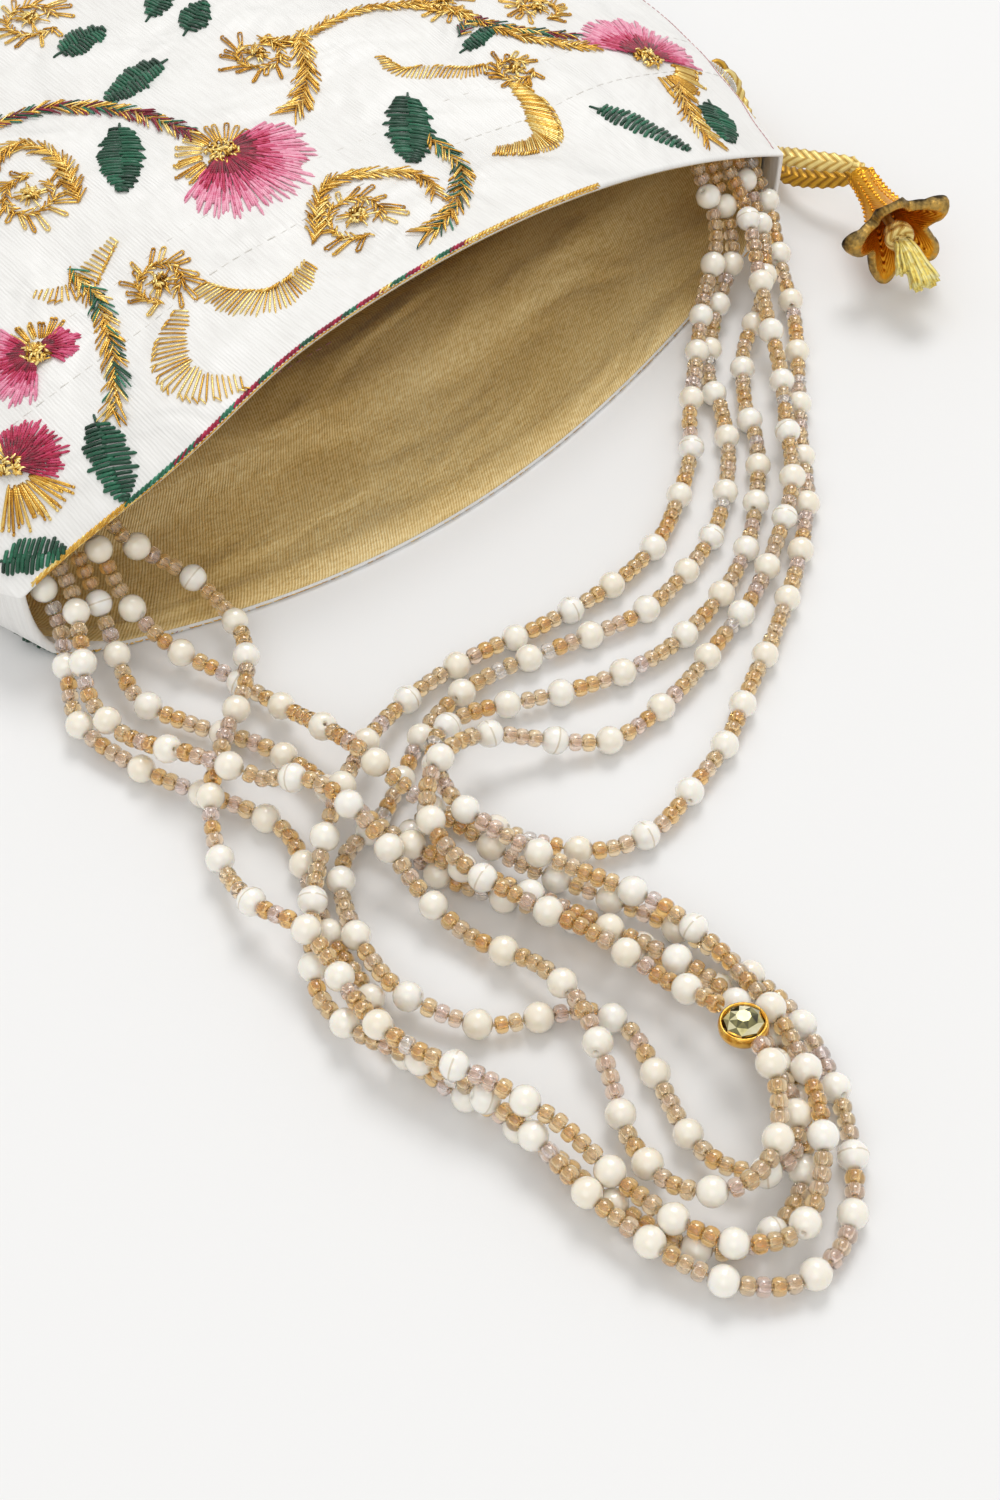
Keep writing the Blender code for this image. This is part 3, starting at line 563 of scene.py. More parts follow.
def strandBeads():
    # where each bead goes: a pearl, then two to four seed beads, over and over
    source = random.Random(11)
    pearlsSoFar = []
    pearls, seeds = {}, {}
    for number, line in sorted(laidStrands.items()):
        points, run = evenLine(line, strand["beadStep"])
        heading = headings(points)
        pearls[number], seeds[number] = [], []
        goldAt = None
        if number == strand["goldStrand"]:
            goldAt = run[np.argmin(np.linalg.norm(points - goldMiddle, axis=1))]
        at, toGo, turn = 0.6, 1 + number % 3, number
        end = run[-1] - 0.6
        while True:
            wantsPearl = toGo <= 0
            half = (strand["pearl"] if wantsPearl else strand["seedLength"]) / 2
            if wantsPearl:
                spot = int(min(max((at + half) / strand["beadStep"], 0), len(points) - 1))
                middle = points[spot]
                close = [p for p in pearlsSoFar if np.linalg.norm(p - middle) < strand["pearl"] - 0.25]
                if close and toGo > -3:
                    wantsPearl = False
                    half = strand["seedLength"] / 2
            if goldAt is not None and at + 2 * half > goldAt - strand["goldLength"] / 2 - 0.1 \
                    and at < goldAt + strand["goldLength"] / 2:
                at = goldAt + strand["goldLength"] / 2 + 0.2
                continue
            if at + 2 * half > end:
                break
            spot = int(min((at + half) / strand["beadStep"], len(points) - 1))
            middle, way = points[spot], heading[spot]
            if wantsPearl:
                size = strand["pearl"] / 2 * source.uniform(0.97, 1.02)
                seam = source.random() < 0.35
                tilt = Vector(way) + Vector([source.uniform(-0.5, 0.5) for _ in range(3)]) * seam
                pearls[number].append((middle, tuple(tilt), (size, size, size), source.random(), seam))
                pearlsSoFar.append(middle)
                turn += 1
                toGo = strand["seedRuns"][turn % len(strand["seedRuns"])]
                at += 2 * half + 0.08
            else:
                wide = strand["seed"] / 2 * source.uniform(0.93, 1.03)
                tilt = Vector(way) + Vector([source.uniform(-0.09, 0.09) for _ in range(3)])
                long = half * source.uniform(0.88, 1.02)
                tint = min(max(source.gauss(0.4, 0.22), 0.0), 0.86) if source.random() > 0.03 else 1.0
                seeds[number].append((middle, tuple(tilt), (wide, wide, long), tint, 0))
                toGo -= 1
                at += 2 * half + 0.06
    return pearls, seeds


def layCopies(name, rows, labels, shape, tree, material):
    # each row holds a place, one vector for each label and then a tint
    piece = addPiece(name, [row[0] for row in rows], [], None)
    for column, label in enumerate(labels, 1):
        layer = piece.data.attributes.new(label, "FLOAT_VECTOR", "POINT")
        layer.data.foreach_set("vector", [part for row in rows for part in row[column]])
    addValues(piece, tint=[row[len(labels) + 1] for row in rows])
    applyTree(piece, tree, {"Shape": shape, "Material": material})
    piece.data.shade_smooth()
    for label in labels:
        layer = piece.data.attributes.get(label)
        if layer:
            piece.data.attributes.remove(layer)
    return piece


goldLine = evenLine(laidStrands[strand["goldStrand"]], 8.5)[0]
goldSpot = int(np.argmin(np.hypot(*(goldLine[:, :2] - strand["goldPlace"]).T)))
goldMiddle, goldWay = goldLine[goldSpot], goldLine[goldSpot + 1] - goldLine[goldSpot - 1]
threads = {number: addThread(number, line) for number, line in sorted(laidStrands.items())}
pearlSpots, seedSpots = strandBeads()
stringBeads = layingTree("string beads", "Z")
beadLabels = ("heading", "size")
pearlPattern, seedPattern = pearlShape(), seedShape()
pearlPaint, seedPaint = pearlMaterial(), seedMaterial()
pearls, seeds = {}, {}
for number in sorted(laidStrands):
    pearls[number] = layCopies("strand_pearls_%d" % number, pearlSpots[number], beadLabels, pearlPattern,
                               stringBeads, pearlPaint)
    seeds[number] = layCopies("strand_seeds_%d" % number, seedSpots[number], beadLabels, seedPattern,
                              stringBeads, seedPaint)
for pattern in (pearlPattern, seedPattern):
    bpy.data.objects.remove(pattern, do_unlink=True)


def foilStone():
    # cut glass over gold foil: a smoky to pale gold glass, with each facet painted lighter or darker as a painted
    # reflection of bright and dark surroundings
    paint = Paint("foil backed cut glass", Roughness=0.06, Metallic=0.75, Coat_Weight=1.0, Coat_Roughness=0.03)
    paint.colour(paint.maths("MULTIPLY_ADD", paint.noise(500.0), 0.4, paint.value("tint")), (0.15, "#35301a"),
                 (0.36, "#6d6a40"), (0.55, "#a59c62"), (0.75, "#e6dba0"), (1.0, "#fbf6d4"))
    return paint.material


def settingMetal():
    # cast and gilt alloy: yellow, smooth, a little worn where it rubs
    paint = Paint("gilt cast setting", Metallic=1.0, Roughness=0.22)
    wear = paint.noise(600.0, Detail=3.0)
    paint.colour(wear, (0.3, "#c98a2a"), (0.6, "#eabb5c"))
    paint.wire("Roughness", paint.spread(wear, 0.0, 1.0, 0.15, 0.35))
    return paint.material


# the tones below are the facets' painted reflections, from dark to bright
goldBead = {"ring": 4.25, "wire": 0.5, "rise": 1.4, "around": 40, "section": 10, "sides": 8,
            "facets": ((3.95, 0.0, 0.9), (3.75, 0.0, 1.45), (2.8, 0.5, 2.35), (1.4, 0.0, 2.85)),
            "tones": (0.0, 0.1, 0.25, 0.45, 0.7)}


def addGoldBead():
    # a round gilt setting with a cut stone on each face, threaded through its edge
    way = Vector(goldWay).normalized()
    facing = Vector((0.0, -0.3, 1.0))
    facing = (facing - way * facing.dot(way)).normalized()
    side = way.cross(facing)
    middle = Vector(goldMiddle)

    def place(radius, turn, height):
        return tuple(middle + (way * math.cos(turn) + side * math.sin(turn)) * radius + facing * height)

    count, section, sides = goldBead["around"], goldBead["section"], goldBead["sides"]
    points = [place(goldBead["ring"] + goldBead["wire"] * math.cos(a), 2 * math.pi * k / count,
                    goldBead["rise"] * math.sin(a))
              for k in range(count) for a in [2 * math.pi * j / section for j in range(section)]]
    faces = [(k * section + j, k * section + (j + 1) % section, (k + 1) % count * section + (j + 1) % section,
              (k + 1) % count * section + j) for k in range(count) for j in range(section)]
    ring = faceOutwards(addPiece("gold_bead_setting", points, faces, settingMetal()))
    points, faces = [], []
    levels = [(r, o, -h) for r, o, h in reversed(goldBead["facets"])] + list(goldBead["facets"])
    for radius, offset, height in levels:
        points += [place(radius, 2 * math.pi * (k + offset) / sides, height) for k in range(sides)]
    for r in range(len(levels) - 1):
        shift = levels[r + 1][1] - levels[r][1]
        for k in range(sides):
            n, a, b = (k + 1) % sides, r * sides, (r + 1) * sides
            if shift == 0:
                faces.append((a + k, a + n, b + n, b + k))
            elif shift > 0:
                faces += [(a + k, a + n, b + k), (a + n, b + n, b + k)]
            else:
                faces += [(a + k, b + n, b + k), (a + k, a + n, b + n)]
    faces += [tuple(range(sides)), tuple(range((len(levels) - 1) * sides, len(levels) * sides))]
    stone = faceOutwards(addPiece("gold_bead_stones", points, faces, foilStone(), smooth=False))
    # each facet takes one of the tones at random: painted reflections on the glass
    source = random.Random(8)
    addValues(stone, "FACE", tint=[source.choice(goldBead["tones"]) for _ in stone.data.polygons])
    return ring, stone


beadSetting, beadStones = addGoldBead()
print("strands:", sum(len(v) for v in pearlSpots.values()), "pearls,",
      sum(len(v) for v in seedSpots.values()), "seed beads")

# declares each strand
for number in sorted(laidStrands):
    thread, points, length = threads[number]
    declare(thread, "beads", "bead_strand_%d" % number)
    for piece in (pearls[number], seeds[number]):
        declare(piece, "beads")
    if number == strand["goldStrand"]:
        for piece in (beadSetting, beadStones):
            declare(piece, "stamped_brass", "gold_bead")

# the drawstring: a flat braid that goes round the pouch in its casing and comes out twice at the right

drawstring = {"width": 4.8, "thick": 1.5, "plait": 2.6, "scallop": 0.22, "step": 0.4, "runOffset": 2.5,
              "closed": 0.36, "closeReach": 10.0, "inCasing": (0.9, 1.9),
              "neckStart": (124.2, -119.4, 13.6), "rimMiddle": (114.0, -142.4, 14.8),
              "spread": 1.8, "straight": 2.6, "slitOut": 2.4,
              "upperTail": ((125.8, -74.5, 11.2), (123.6, -80.5, 8.4), (120.6, -88.0, 7.8), (118.0, -96.0, 9.6),
                            (118.0, -102.5, 12.6), (121.0, -110.0, 14.2)),
              "lowerTail": ((127.5, -68.5, 11.0), (128.0, -73.0, 6.0), (126.0, -81.0, 3.6), (122.6, -90.5, 3.4),
                            (119.6, -100.5, 5.2), (121.2, -109.5, 8.6))}


def braidMaterial(name, light, grooveShade, metal):
    # braided metallised yarn: slanting bright strands that cross in chevrons, with painted shade that darkens the
    # grooves between them
    paint = Paint(name, Roughness=0.33, Metallic=metal, Anisotropic=0.4, Sheen_Weight=0.1)
    slant = paint.maths("MULTIPLY_ADD", paint.maths("ABSOLUTE", paint.value("across")), 1.3, paint.value("along"))
    turns = paint.maths("MULTIPLY", slant, 2 * math.pi / drawstring["plait"])
    fine = paint.maths("SINE", paint.maths("MULTIPLY", turns, 5.0))
    share = paint.spread(paint.maths("MULTIPLY_ADD", fine, 0.25, paint.maths("SINE", turns)), -1.2, 1.2)
    # the colour runs from the painted shade of the grooves up to the strands' own gold
    paint.colour(share, (0.05, grooveShade), (0.6, light))
    paint.relief(share, 0.8, 0.0003)
    return paint.material


def braidOnPath(name, path, material, faceUp=(-0.45, -0.35, 0.82), section=14):
    # a flat closed tube whose edges swell and shrink once a plait
    spots, run = evenLine(path, drawstring["step"])
    heading = headings(spots)
    points, acrossValues, alongValues = [], [], []
    for spot, way, at in zip(spots, heading, run):
        way = Vector(way)
        up = (Vector(faceUp) - way * way.dot(Vector(faceUp))).normalized()
        side = way.cross(up)
        closing = min(max(1 - (run[-1] - at) / drawstring["closeReach"], 0.0), 1.0)
        half = drawstring["width"] / 2 * (1 - drawstring["closed"] * closing)
        half += drawstring["scallop"] * math.sin(2 * math.pi * at / drawstring["plait"])
        for k in range(section):
            turn = 2 * math.pi * k / section
            a = math.copysign(abs(math.cos(turn)) ** 0.8, math.cos(turn)) * half
            thin = drawstring["thick"] / 2 * (1 - 0.25 * (abs(a) / half) ** 3)
            b = math.sin(turn) * thin
            b += 0.12 * math.sin(2 * math.pi * (at + abs(a) * 1.3) / drawstring["plait"]) * math.sin(turn)
            points.append(tuple(Vector(spot) + side * a + up * b))
            acrossValues.append(a)
            alongValues.append(at)
    piece = addPiece(name, points, ringFaces(len(spots), section), material)
    faceOutwards(piece)
    addValues(piece, across=acrossValues, along=alongValues)
    return piece, spots, run[-1]


def drawstringPaths():
    start = Vector(drawstring["neckStart"])
    axis = (Vector(drawstring["rimMiddle"]) - start).normalized()
    up = squareTo(axis)[1]
    depths = (pouch["casingDepth"] - drawstring["runOffset"], pouch["casingDepth"] + drawstring["runOffset"])

    def seamPoint(depth, out):
        place = lowerPoint(1.0, depth, 0.0)
        return (place[0] + out, place[1], seamHeight(depth))

    tails = []
    for depth, tail, way in ((depths[0], drawstring["upperTail"], 1), (depths[1], drawstring["lowerTail"], -1)):
        end = [tuple(start - axis * back + up * drawstring["spread"] * way)
               for back in (drawstring["straight"], 3.0, -0.4)]
        leaves = [seamPoint(depth, -1.0), seamPoint(depth, drawstring["slitOut"])]
        tails.append(smoothCurve(leaves + list(tail) + end, 1.0)[0])
    turns = np.linspace(math.pi / 2, -math.pi / 2, 70)[1:-1]
    loop = [seamPoint(depths[0], -1.2), seamPoint(depths[0], -pouch["cordInset"])]
    loop += [upperPoint(math.sin(t), depths[0], pouch["cordInset"]) for t in turns]
    left = lowerPoint(-1.0, pouch["casingDepth"], pouch["cordInset"])
    loop.append((left[0], left[1], seamHeight(pouch["casingDepth"])))
    loop += [lowerPoint(math.sin(t), depths[1], pouch["cordInset"]) for t in reversed(turns)]
    loop += [seamPoint(depths[1], -pouch["cordInset"]), seamPoint(depths[1], -1.2)]
    return tails, loop, axis


def addLoop(path, material):
    # the part of the braid that the casing hides, gathered round there
    spots = evenLine(path, 2.0)[0]
    flat, tall = drawstring["inCasing"]
    points = []
    for spot, way in zip(spots, np.gradient(spots, axis=0)):
        way = Vector(way).normalized()
        side = way.cross(Vector((0, 1, 0))).normalized()
        up = side.cross(way)
        for k in range(10):
            turn = 2 * math.pi * k / 10
            points.append(tuple(Vector(spot) + side * math.cos(turn) * flat + up * math.sin(turn) * tall))
    piece = addPiece("drawstring_in_casing", points, ringFaces(len(spots), 10), material)
    return faceOutwards(piece)


tailPaths, loopPath, flowerAxis = drawstringPaths()
# the braid is one cord: its upper end and the knot keep the pale colours, while its lower end and the part in the
# casing get darker colours that are painted shade
paleBraid = braidMaterial("pale gold metallised braid", "#f2d98a", "#b98a2c", 0.55)
shadedBraid = braidMaterial("deep gold metallised braid", "#d9a62e", "#8a5f0c", 0.5)
upperTail = braidOnPath("drawstring_upper_end", tailPaths[0], paleBraid)
lowerTail = braidOnPath("drawstring_lower_end", tailPaths[1], shadedBraid)
casingLoop = addLoop(loopPath, shadedBraid)

# the metal flower, the knot in its mouth and the fringe

flower = {"neck": 2.9, "neckLength": 1.5, "radius": 9.4, "wall": 0.5, "petals": 5, "around": 160, "flare": 2.5,
          "fold": 2.3, "foldBack": 3.6, "wave": 0.18, "lobes": (1.0, 0.7, 1.2, 0.8, 1.1),
          "folds": (1.15, 0.35, 1.0, 1.2, 0.4), "turned": 0.5, "dot": 0.34, "dots": 11, "knot": 3.5,
          "fringeLength": 12.5, "fringeTurn": (-4.0, -10.0, -5.0), "blades": 150, "steps": 8,
          "dotPitch": 1.5, "ribPitch": 1.1, "wrapPoints": 40, "yarnHalf": 1.5, "yarnFlat": 0.75, "yarnPitch": 0.45}


def brassMaterial():
    # stamped brass sheet: bright orange gold on the ridges, with brown tarnish in the folds and at the edges
    paint = Paint("stamped and tarnished brass", Metallic=1.0, Roughness=0.28)
    along, ridge = paint.value("along"), paint.value("ridge")
    spots = paint.maths("MULTIPLY", paint.noise(420.0, Detail=4.0, Roughness=0.65), paint.value("tarnish"))
    paint.colour(spots, (0.0, "#eeb03a"), (0.2, "#dc9420"), (0.36, "#bf9a52"), (0.52, "#8a7346"), (0.72, "#3c3122"))
    paint.wire("Roughness", paint.spread(spots, 0.0, 0.5, 0.24, 0.6))
    # rows of punched dots along each petal's middle, and fine ribs beside them
    punched = paint.maths("COSINE", paint.maths("MULTIPLY", along, 2 * math.pi / flower["dotPitch"]))
    near = paint.spread(ridge, 0.0, 0.75, 1.0, 0.0, interpolation_type="SMOOTHSTEP")
    slant = paint.maths("MULTIPLY_ADD", ridge, 1.2, along)
    ribs = paint.maths("SINE", paint.maths("MULTIPLY", slant, 2 * math.pi / flower["ribPitch"]))
    stamped = paint.maths("MULTIPLY_ADD", ribs, 0.3, paint.maths("MULTIPLY", punched, near))
    paint.relief(paint.maths("MULTIPLY_ADD", paint.noise(900.0), 0.7, stamped), 0.55, 0.0003)
    return paint.material


def addFlower(axis, material):
    start = Vector(drawstring["neckStart"])
    length = (Vector(drawstring["rimMiddle"]) - start).length
    flareLength = length - flower["neckLength"]
    side, up = squareTo(axis)
    count, petals = flower["around"], flower["petals"]

    def wallPoint(share, turn, off, along=0.0):
        # each lobe has its own reach, and some are folded back further than others
        turn = turn + flower["turned"]
        petal = math.cos(petals * turn)
        lobe = int(turn * petals / (2 * math.pi) + 0.5) % petals
        petal = math.copysign(abs(petal) ** 0.8, petal)
        folded = 0.55 + (flower["folds"][lobe] - 0.55) * max(petal, 0.0)
        petal *= flower["lobes"][lobe] if petal > 0 else 1.0
        share, neckShare = max(share, 0.0), min(share, 0.0)
        wave = flower["wave"] * share ** 3
        radius = flower["neck"] + (flower["radius"] - flower["neck"]) * share ** flower["flare"]
        ridge = 0.3 * max(petal, 0.0) ** 6 * (1 - 0.5 * share)
        pinch = -0.8 * share ** 2 * max(-petal, 0.0) ** 3
        radius = (radius + ridge + pinch) * (1 + wave * petal) + (off * folded if off > 0.6 else off)
        reach = flower["neckLength"] * (1 + neckShare) + flareLength * share
        reach += wave * flower["radius"] * 0.9 * petal + along * (folded if along < 0 else 1.0)
        return start + axis * reach + (side * math.cos(turn) + up * math.sin(turn)) * radius

    rings = [(-1.0, -flower["wall"], 0.0, 0.4), (-1.0, 0.0, 0.0, 0.3)]
    rings += [(-1.0 + k / 6, 0.18 if k % 2 else 0.0, 0.0, 0.15) for k in range(1, 6)]
    rings += [(k / 22, 0.0, 0.0, 0.15 + 0.2 * (k / 22) ** 4) for k in range(22)]
    fold, back = flower["fold"], flower["foldBack"]
    rings += [(0.97, 0.05, -0.3, 1.2), (0.985, 0.35, -0.9, 1.35), (1.0, fold * 0.5, -back * 0.75, 1.3),
              (1.0, fold * 0.8, -back, 1.2), (1.0, fold, -back * 0.9, 1.45), (1.0, fold * 0.98, -back * 0.6, 1.15),
              (1.0, fold * 0.75, -back * 0.25, 0.9), (1.0, fold * 0.4, 0.1, 0.8), (1.0, 0.15, 0.4, 0.75),
              (0.99, -0.45, 0.35, 0.6)]
    rings += [(k / 22, -flower["wall"], 0.2, 0.2 + 0.3 * (1 - k / 22) ** 2) for k in range(21, 0, -1)]
    rings += [(0.0, -flower["wall"], 0.0, 1.0), (-0.5, -flower["wall"], 0.0, 1.2)]
    points, tarnish, along, ridge = [], [], [], []
    for share, off, push, wear in rings:
        for k in range(count):
            turn = 2 * math.pi * k / count
            points.append(tuple(wallPoint(share, turn, off, push)))
            tarnish.append(wear)
            along.append(flower["neckLength"] * min(share, 0) + flareLength * max(share, 0))
            radius = flower["neck"] + (flower["radius"] - flower["neck"]) * max(share, 0.0) ** flower["flare"]
            sector = ((turn + flower["turned"]) * petals / (2 * math.pi) + 0.5) % 1.0 - 0.5
            ridge.append(abs(sector) * 2 * math.pi * radius / petals)
    faces = ringFaces(len(rings), count, capStart=False, capEnd=False)
    last = (len(rings) - 1) * count
    faces += [(last + k, last + (k + 1) % count, (k + 1) % count, k) for k in range(count)]
    piece = faceOutwards(addPiece("flower_cap", points, faces, material))
    addValues(piece, tarnish=tarnish, along=along, ridge=ridge)
    # the punched dots in rows down the ridges and the valleys
    dots = []
    for row in range(2 * petals):
        for k in range(flower["dots"]):
            share = 0.1 + 0.72 * (k + 0.5 * (row % 2)) / flower["dots"]
            spot = wallPoint(share, math.pi * row / petals - flower["turned"], 0.05)
            dots.append((tuple(spot), tuple(axis), (flower["dot"],) * 3, 0.5))
    shape = turnedShape("dot_pattern", ((0.1, -0.98), (0.7, -0.7), (1.0, 0.0), (0.7, 0.7), (0.1, 0.98)), 8)
    studs = layCopies("flower_dots", dots, beadLabels, shape, stringBeads, material)
    bpy.data.objects.remove(shape, do_unlink=True)
    return piece, studs, start, length


def addKnot(start, axis, length, material):
    # both ends tied in one round overhand knot: three fat wraps that lean on one another
    side, up = squareTo(axis)
    middle = start + axis * (length - 1.0)
    points, faces = [], []
    across, along = [], []
    lines = []
    for wrap, lean in ((0, 0.55), (1, -0.5), (2, 0.1)):
        normal = (axis + side * lean + up * lean * 0.6 * (1 if wrap else -1)).normalized()
        a = normal.cross(up).normalized()
        b = normal.cross(a)
        ring = []
        for k in range(flower["wrapPoints"] + 1):
            t = 2 * math.pi * k / flower["wrapPoints"]
            r = flower["knot"] * 0.6 + 0.12 * math.sin(3 * t + wrap)
            ring.append(middle + a * math.cos(t) * r + b * math.sin(t) * r + normal * (wrap - 1) * 1.1)
        lines.append((ring, True))
    lines.append(([start + axis * s for s in np.linspace(flower["neckLength"] + 1.2, length + 1.4, 12)], False))
    wide, thick = flower["yarnHalf"], flower["yarnHalf"] * flower["yarnFlat"]
    for line, closed in lines:
        base = len(points)
        count = 12
        for k, spot in enumerate(line):
            ahead = line[(k + 1) % len(line)] if k + 1 < len(line) else line[1] if closed else spot
            behind = line[k - 1] if k else line[-2] if closed else spot
            way = (ahead - behind).normalized()
            one = way.cross(axis + side * 0.3).normalized()
            two = way.cross(one)
            for c in range(count):
                turn = 2 * math.pi * c / count
                points.append(tuple(spot + one * math.cos(turn) * wide + two * math.sin(turn) * thick))
                across.append(math.cos(turn) * wide)
                along.append(k * flower["yarnPitch"])
        faces += [tuple(base + i for i in face) for face in ringFaces(len(line), count, not closed, not closed)]
    piece = addPiece("drawstring_end_knot", points, faces, material)
    addValues(piece, across=across, along=along)
    return faceOutwards(piece)


def addFringe(start, axis, length, material):
    # the braids' two ends frayed: one broad flat bundle and a small one, of yarn blades that overlap
    source = random.Random(5)
    turned = Vector(flower["fringeTurn"]).normalized()
    side = squareTo(axis)[0]
    root = start + axis * (length + 1.6)
    points, faces = [], []
    for blade in range(flower["blades"]):
        small = blade % 4 == 0
        lean = side * (0.5 if small else -0.16)
        reach = flower["fringeLength"] * (source.uniform(0.58, 0.72) if small else source.uniform(0.88, 1.08))
        apart, deep = source.uniform(-1, 1), source.uniform(-1, 1)
        opening = (0.9, 1.6) if small else (1.5, 3.6)
        width = source.uniform(0.4, 0.7)
        tilt = source.uniform(-0.7, 0.7)
        phase = source.uniform(0, 6.0)
        base = len(points)
        steps = flower["steps"]
        spot = root + lean * 1.6
        for k in range(steps):
            t = k / (steps - 1)
            way = axis.lerp(turned, min(t * 1.5, 1.0)).normalized() + lean * 0.5
            if k:
                spot = spot + way.normalized() * reach / (steps - 1)
            across = way.cross(Vector((0.2, 0.3, 1.0))).normalized()
            facing = way.cross(across).normalized()
            here = spot + across * apart * (opening[0] + (opening[1] - opening[0]) * t ** 1.3)
            here = here + facing * deep * (0.9 + 0.5 * t) + across * 0.16 * math.sin(9 * t + phase)
            flat = across * math.cos(tilt + 0.5 * t) + facing * math.sin(tilt + 0.5 * t)
            thin = way.cross(flat).normalized()
            for a, b in ((-1, 0), (0, 1), (1, 0), (0, -1)):
                place = here + flat * width * (1 - 0.2 * t) * a + thin * 0.1 * b
                points.append((place.x, place.y, max(place.z, 0.15)))
        faces += [tuple(base + i for i in face) for face in ringFaces(steps, 4)]
    return faceOutwards(addPiece("drawstring_fringe", points, faces, material))


brass = brassMaterial()
flowerCap, flowerDots, flowerStart, flowerLength = addFlower(flowerAxis, brass)
endKnot = addKnot(flowerStart, flowerAxis, flowerLength, paleBraid)
# frayed metallised yarn: flat straw yellow blades, with noise lightening them to pale yellow patches that are painted
# highlights
yarn = Paint("frayed pale gold yarn", Roughness=0.38, Metallic=0.12, Sheen_Weight=0.2)
yarn.colour(yarn.noise(700.0), (0.28, "#e8c44c"), (0.48, "#fbe678"), (0.68, "#fff4ac"))
fringe = addFringe(flowerStart, flowerAxis, flowerLength, yarn.material)
print("drawstring ends, flower, knot and fringe are made")

# the pouch's cloth: one seamless outer bag with its turned hem, and a lining bag inside it

cloth = {"columns": 150, "outerRows": 112, "innerRows": 42, "dent": 0.75, "pucker": 0.35,
         "stitchDepths": (30.0, 44.0), "leanMore": 3.2, "leanAt": -0.66, "leanReach": 0.36,
         "liningRows": 96, "liningStart": 0.16, "cornerFrom": 0.86, "cornerFade": 22.0,
         "cornerCut": 9.0, "liningColumns": 110, "sewnFrom": 6.0, "sewnPitch": 3.1}


def softDent(across, depth, upper):
    # millimetres outwards: soft hand dents, and the tight lines of the casing's two rows of stitches
    wave = (math.sin(8 * across + depth / 17.0) + 0.7 * math.sin(-13 * across + depth / 12.0 + 1.3)
            + 0.45 * math.sin(21 * across + depth / 31.0 + 0.4))
    away = min(depth / 16.0, 1.0) * math.sqrt(max(1 - across ** 2, 0.0))
    dent = cloth["dent"] * (wave if upper else 0.4 * wave - 0.9) * away
    for line in cloth["stitchDepths"]:
        near = math.exp(-((depth - line) / 1.3) ** 2)
        dent -= cloth["pucker"] * near * (0.7 + 0.3 * math.sin(150 * across)) * away
    if not upper:
        dent = min(dent, 0.0)
    return dent


def clothPoint(upper, across, depth, inset):
    if abs(across) >= 1.0:
        place = lowerPoint(math.copysign(1.0, across), depth, inset)
        return (place[0], place[1], seamHeight(depth))
    inset = inset - softDent(across, depth, upper)
    if not upper:
        return lowerPoint(across, depth, inset)
    x, y, z = upperPoint(across, depth, inset)
    lean = cloth["leanMore"] * float(bump(across - cloth["leanAt"], cloth["leanReach"]))
    return (x, y - lean * (1 - max(depth, 0.0) / pouch["length"]) ** 7, z)


def clothBag(name, profile, columns, material, cornerCut=0.0):
    # one closed shell: each row of the profile runs round the mouth, along its front and then its back
    turns = [math.sin(math.pi / 2 * (2 * k / columns - 1)) for k in range(columns + 1)]
    turns[0], turns[-1] = -1.0, 1.0
    ring = [(True, u) for u in turns] + [(False, u) for u in reversed(turns[1:-1])]
    points, spots = [], []
    for depth, inset in profile:
        width = halfWidth(depth)
        for upper, across in ring:
            corner = max(abs(across) - cloth["cornerFrom"], 0.0) / (1 - cloth["cornerFrom"])
            cut = cornerCut * corner ** 1.5 * max(1 - depth / cloth["cornerFade"], 0.0)
            points.append(clothPoint(upper, across, depth + cut, inset))
            spots.append((across * width if upper else 2 * width - across * width, depth))
    count = len(ring)
    faces, corners = [], []
    for r in range(len(profile) - 1):
        for c in range(count):
            n = (c + 1) % count
            face = (r * count + c, r * count + n, (r + 1) * count + n, (r + 1) * count + c)
            faces.append(face)
            for k, i in enumerate(face):
                x, depth = spots[i]
                if n == 0 and k in (1, 2):
                    x += 4 * halfWidth(depth)
                corners.append((x * mm, depth * mm))
    piece = addPiece(name, points, [], None)
    mesh = piece.data
    mesh.clear_geometry()
    mesh.from_pydata([Vector(p) * mm for p in points], [], faces)
    layer = mesh.uv_layers.new(name="cloth")
    layer.data.foreach_set("uv", [v for corner in corners for v in corner])
    mesh.materials.append(material)
    mesh.shade_smooth()
    return faceOutwards(piece, 0.004)


def satinMaterial():
    # woven polyester satin: smooth floats along the weft, drawn coarser than the real ones so that they show
    paint = Paint("woven white polyester satin", "cloth", Roughness=0.42, Sheen_Weight=0.18, Sheen_Roughness=0.35,
                  Anisotropic=0.3)
    floats = paint.noise(1.0, (1500.0, 140.0, 1.0))
    weave = paint.maths("MULTIPLY_ADD", paint.wave(420.0, "X", Distortion=2.0, Detail=1.0), 0.3, floats)
    tone = paint.maths("MULTIPLY", paint.maths("ADD", floats, paint.noise(45.0, Detail=3.0)), 0.5)
    paint.colour(tone, (0.3, "#e3e1de"), (0.5, "#ecebe8"), (0.7, "#f2f1ef"))
    woven = paint.relief(weave, 0.42, 0.0003)
    paint.relief(paint.noise(38.0, Distortion=0.8), 0.7, 0.006, Normal=woven)
    return paint.material


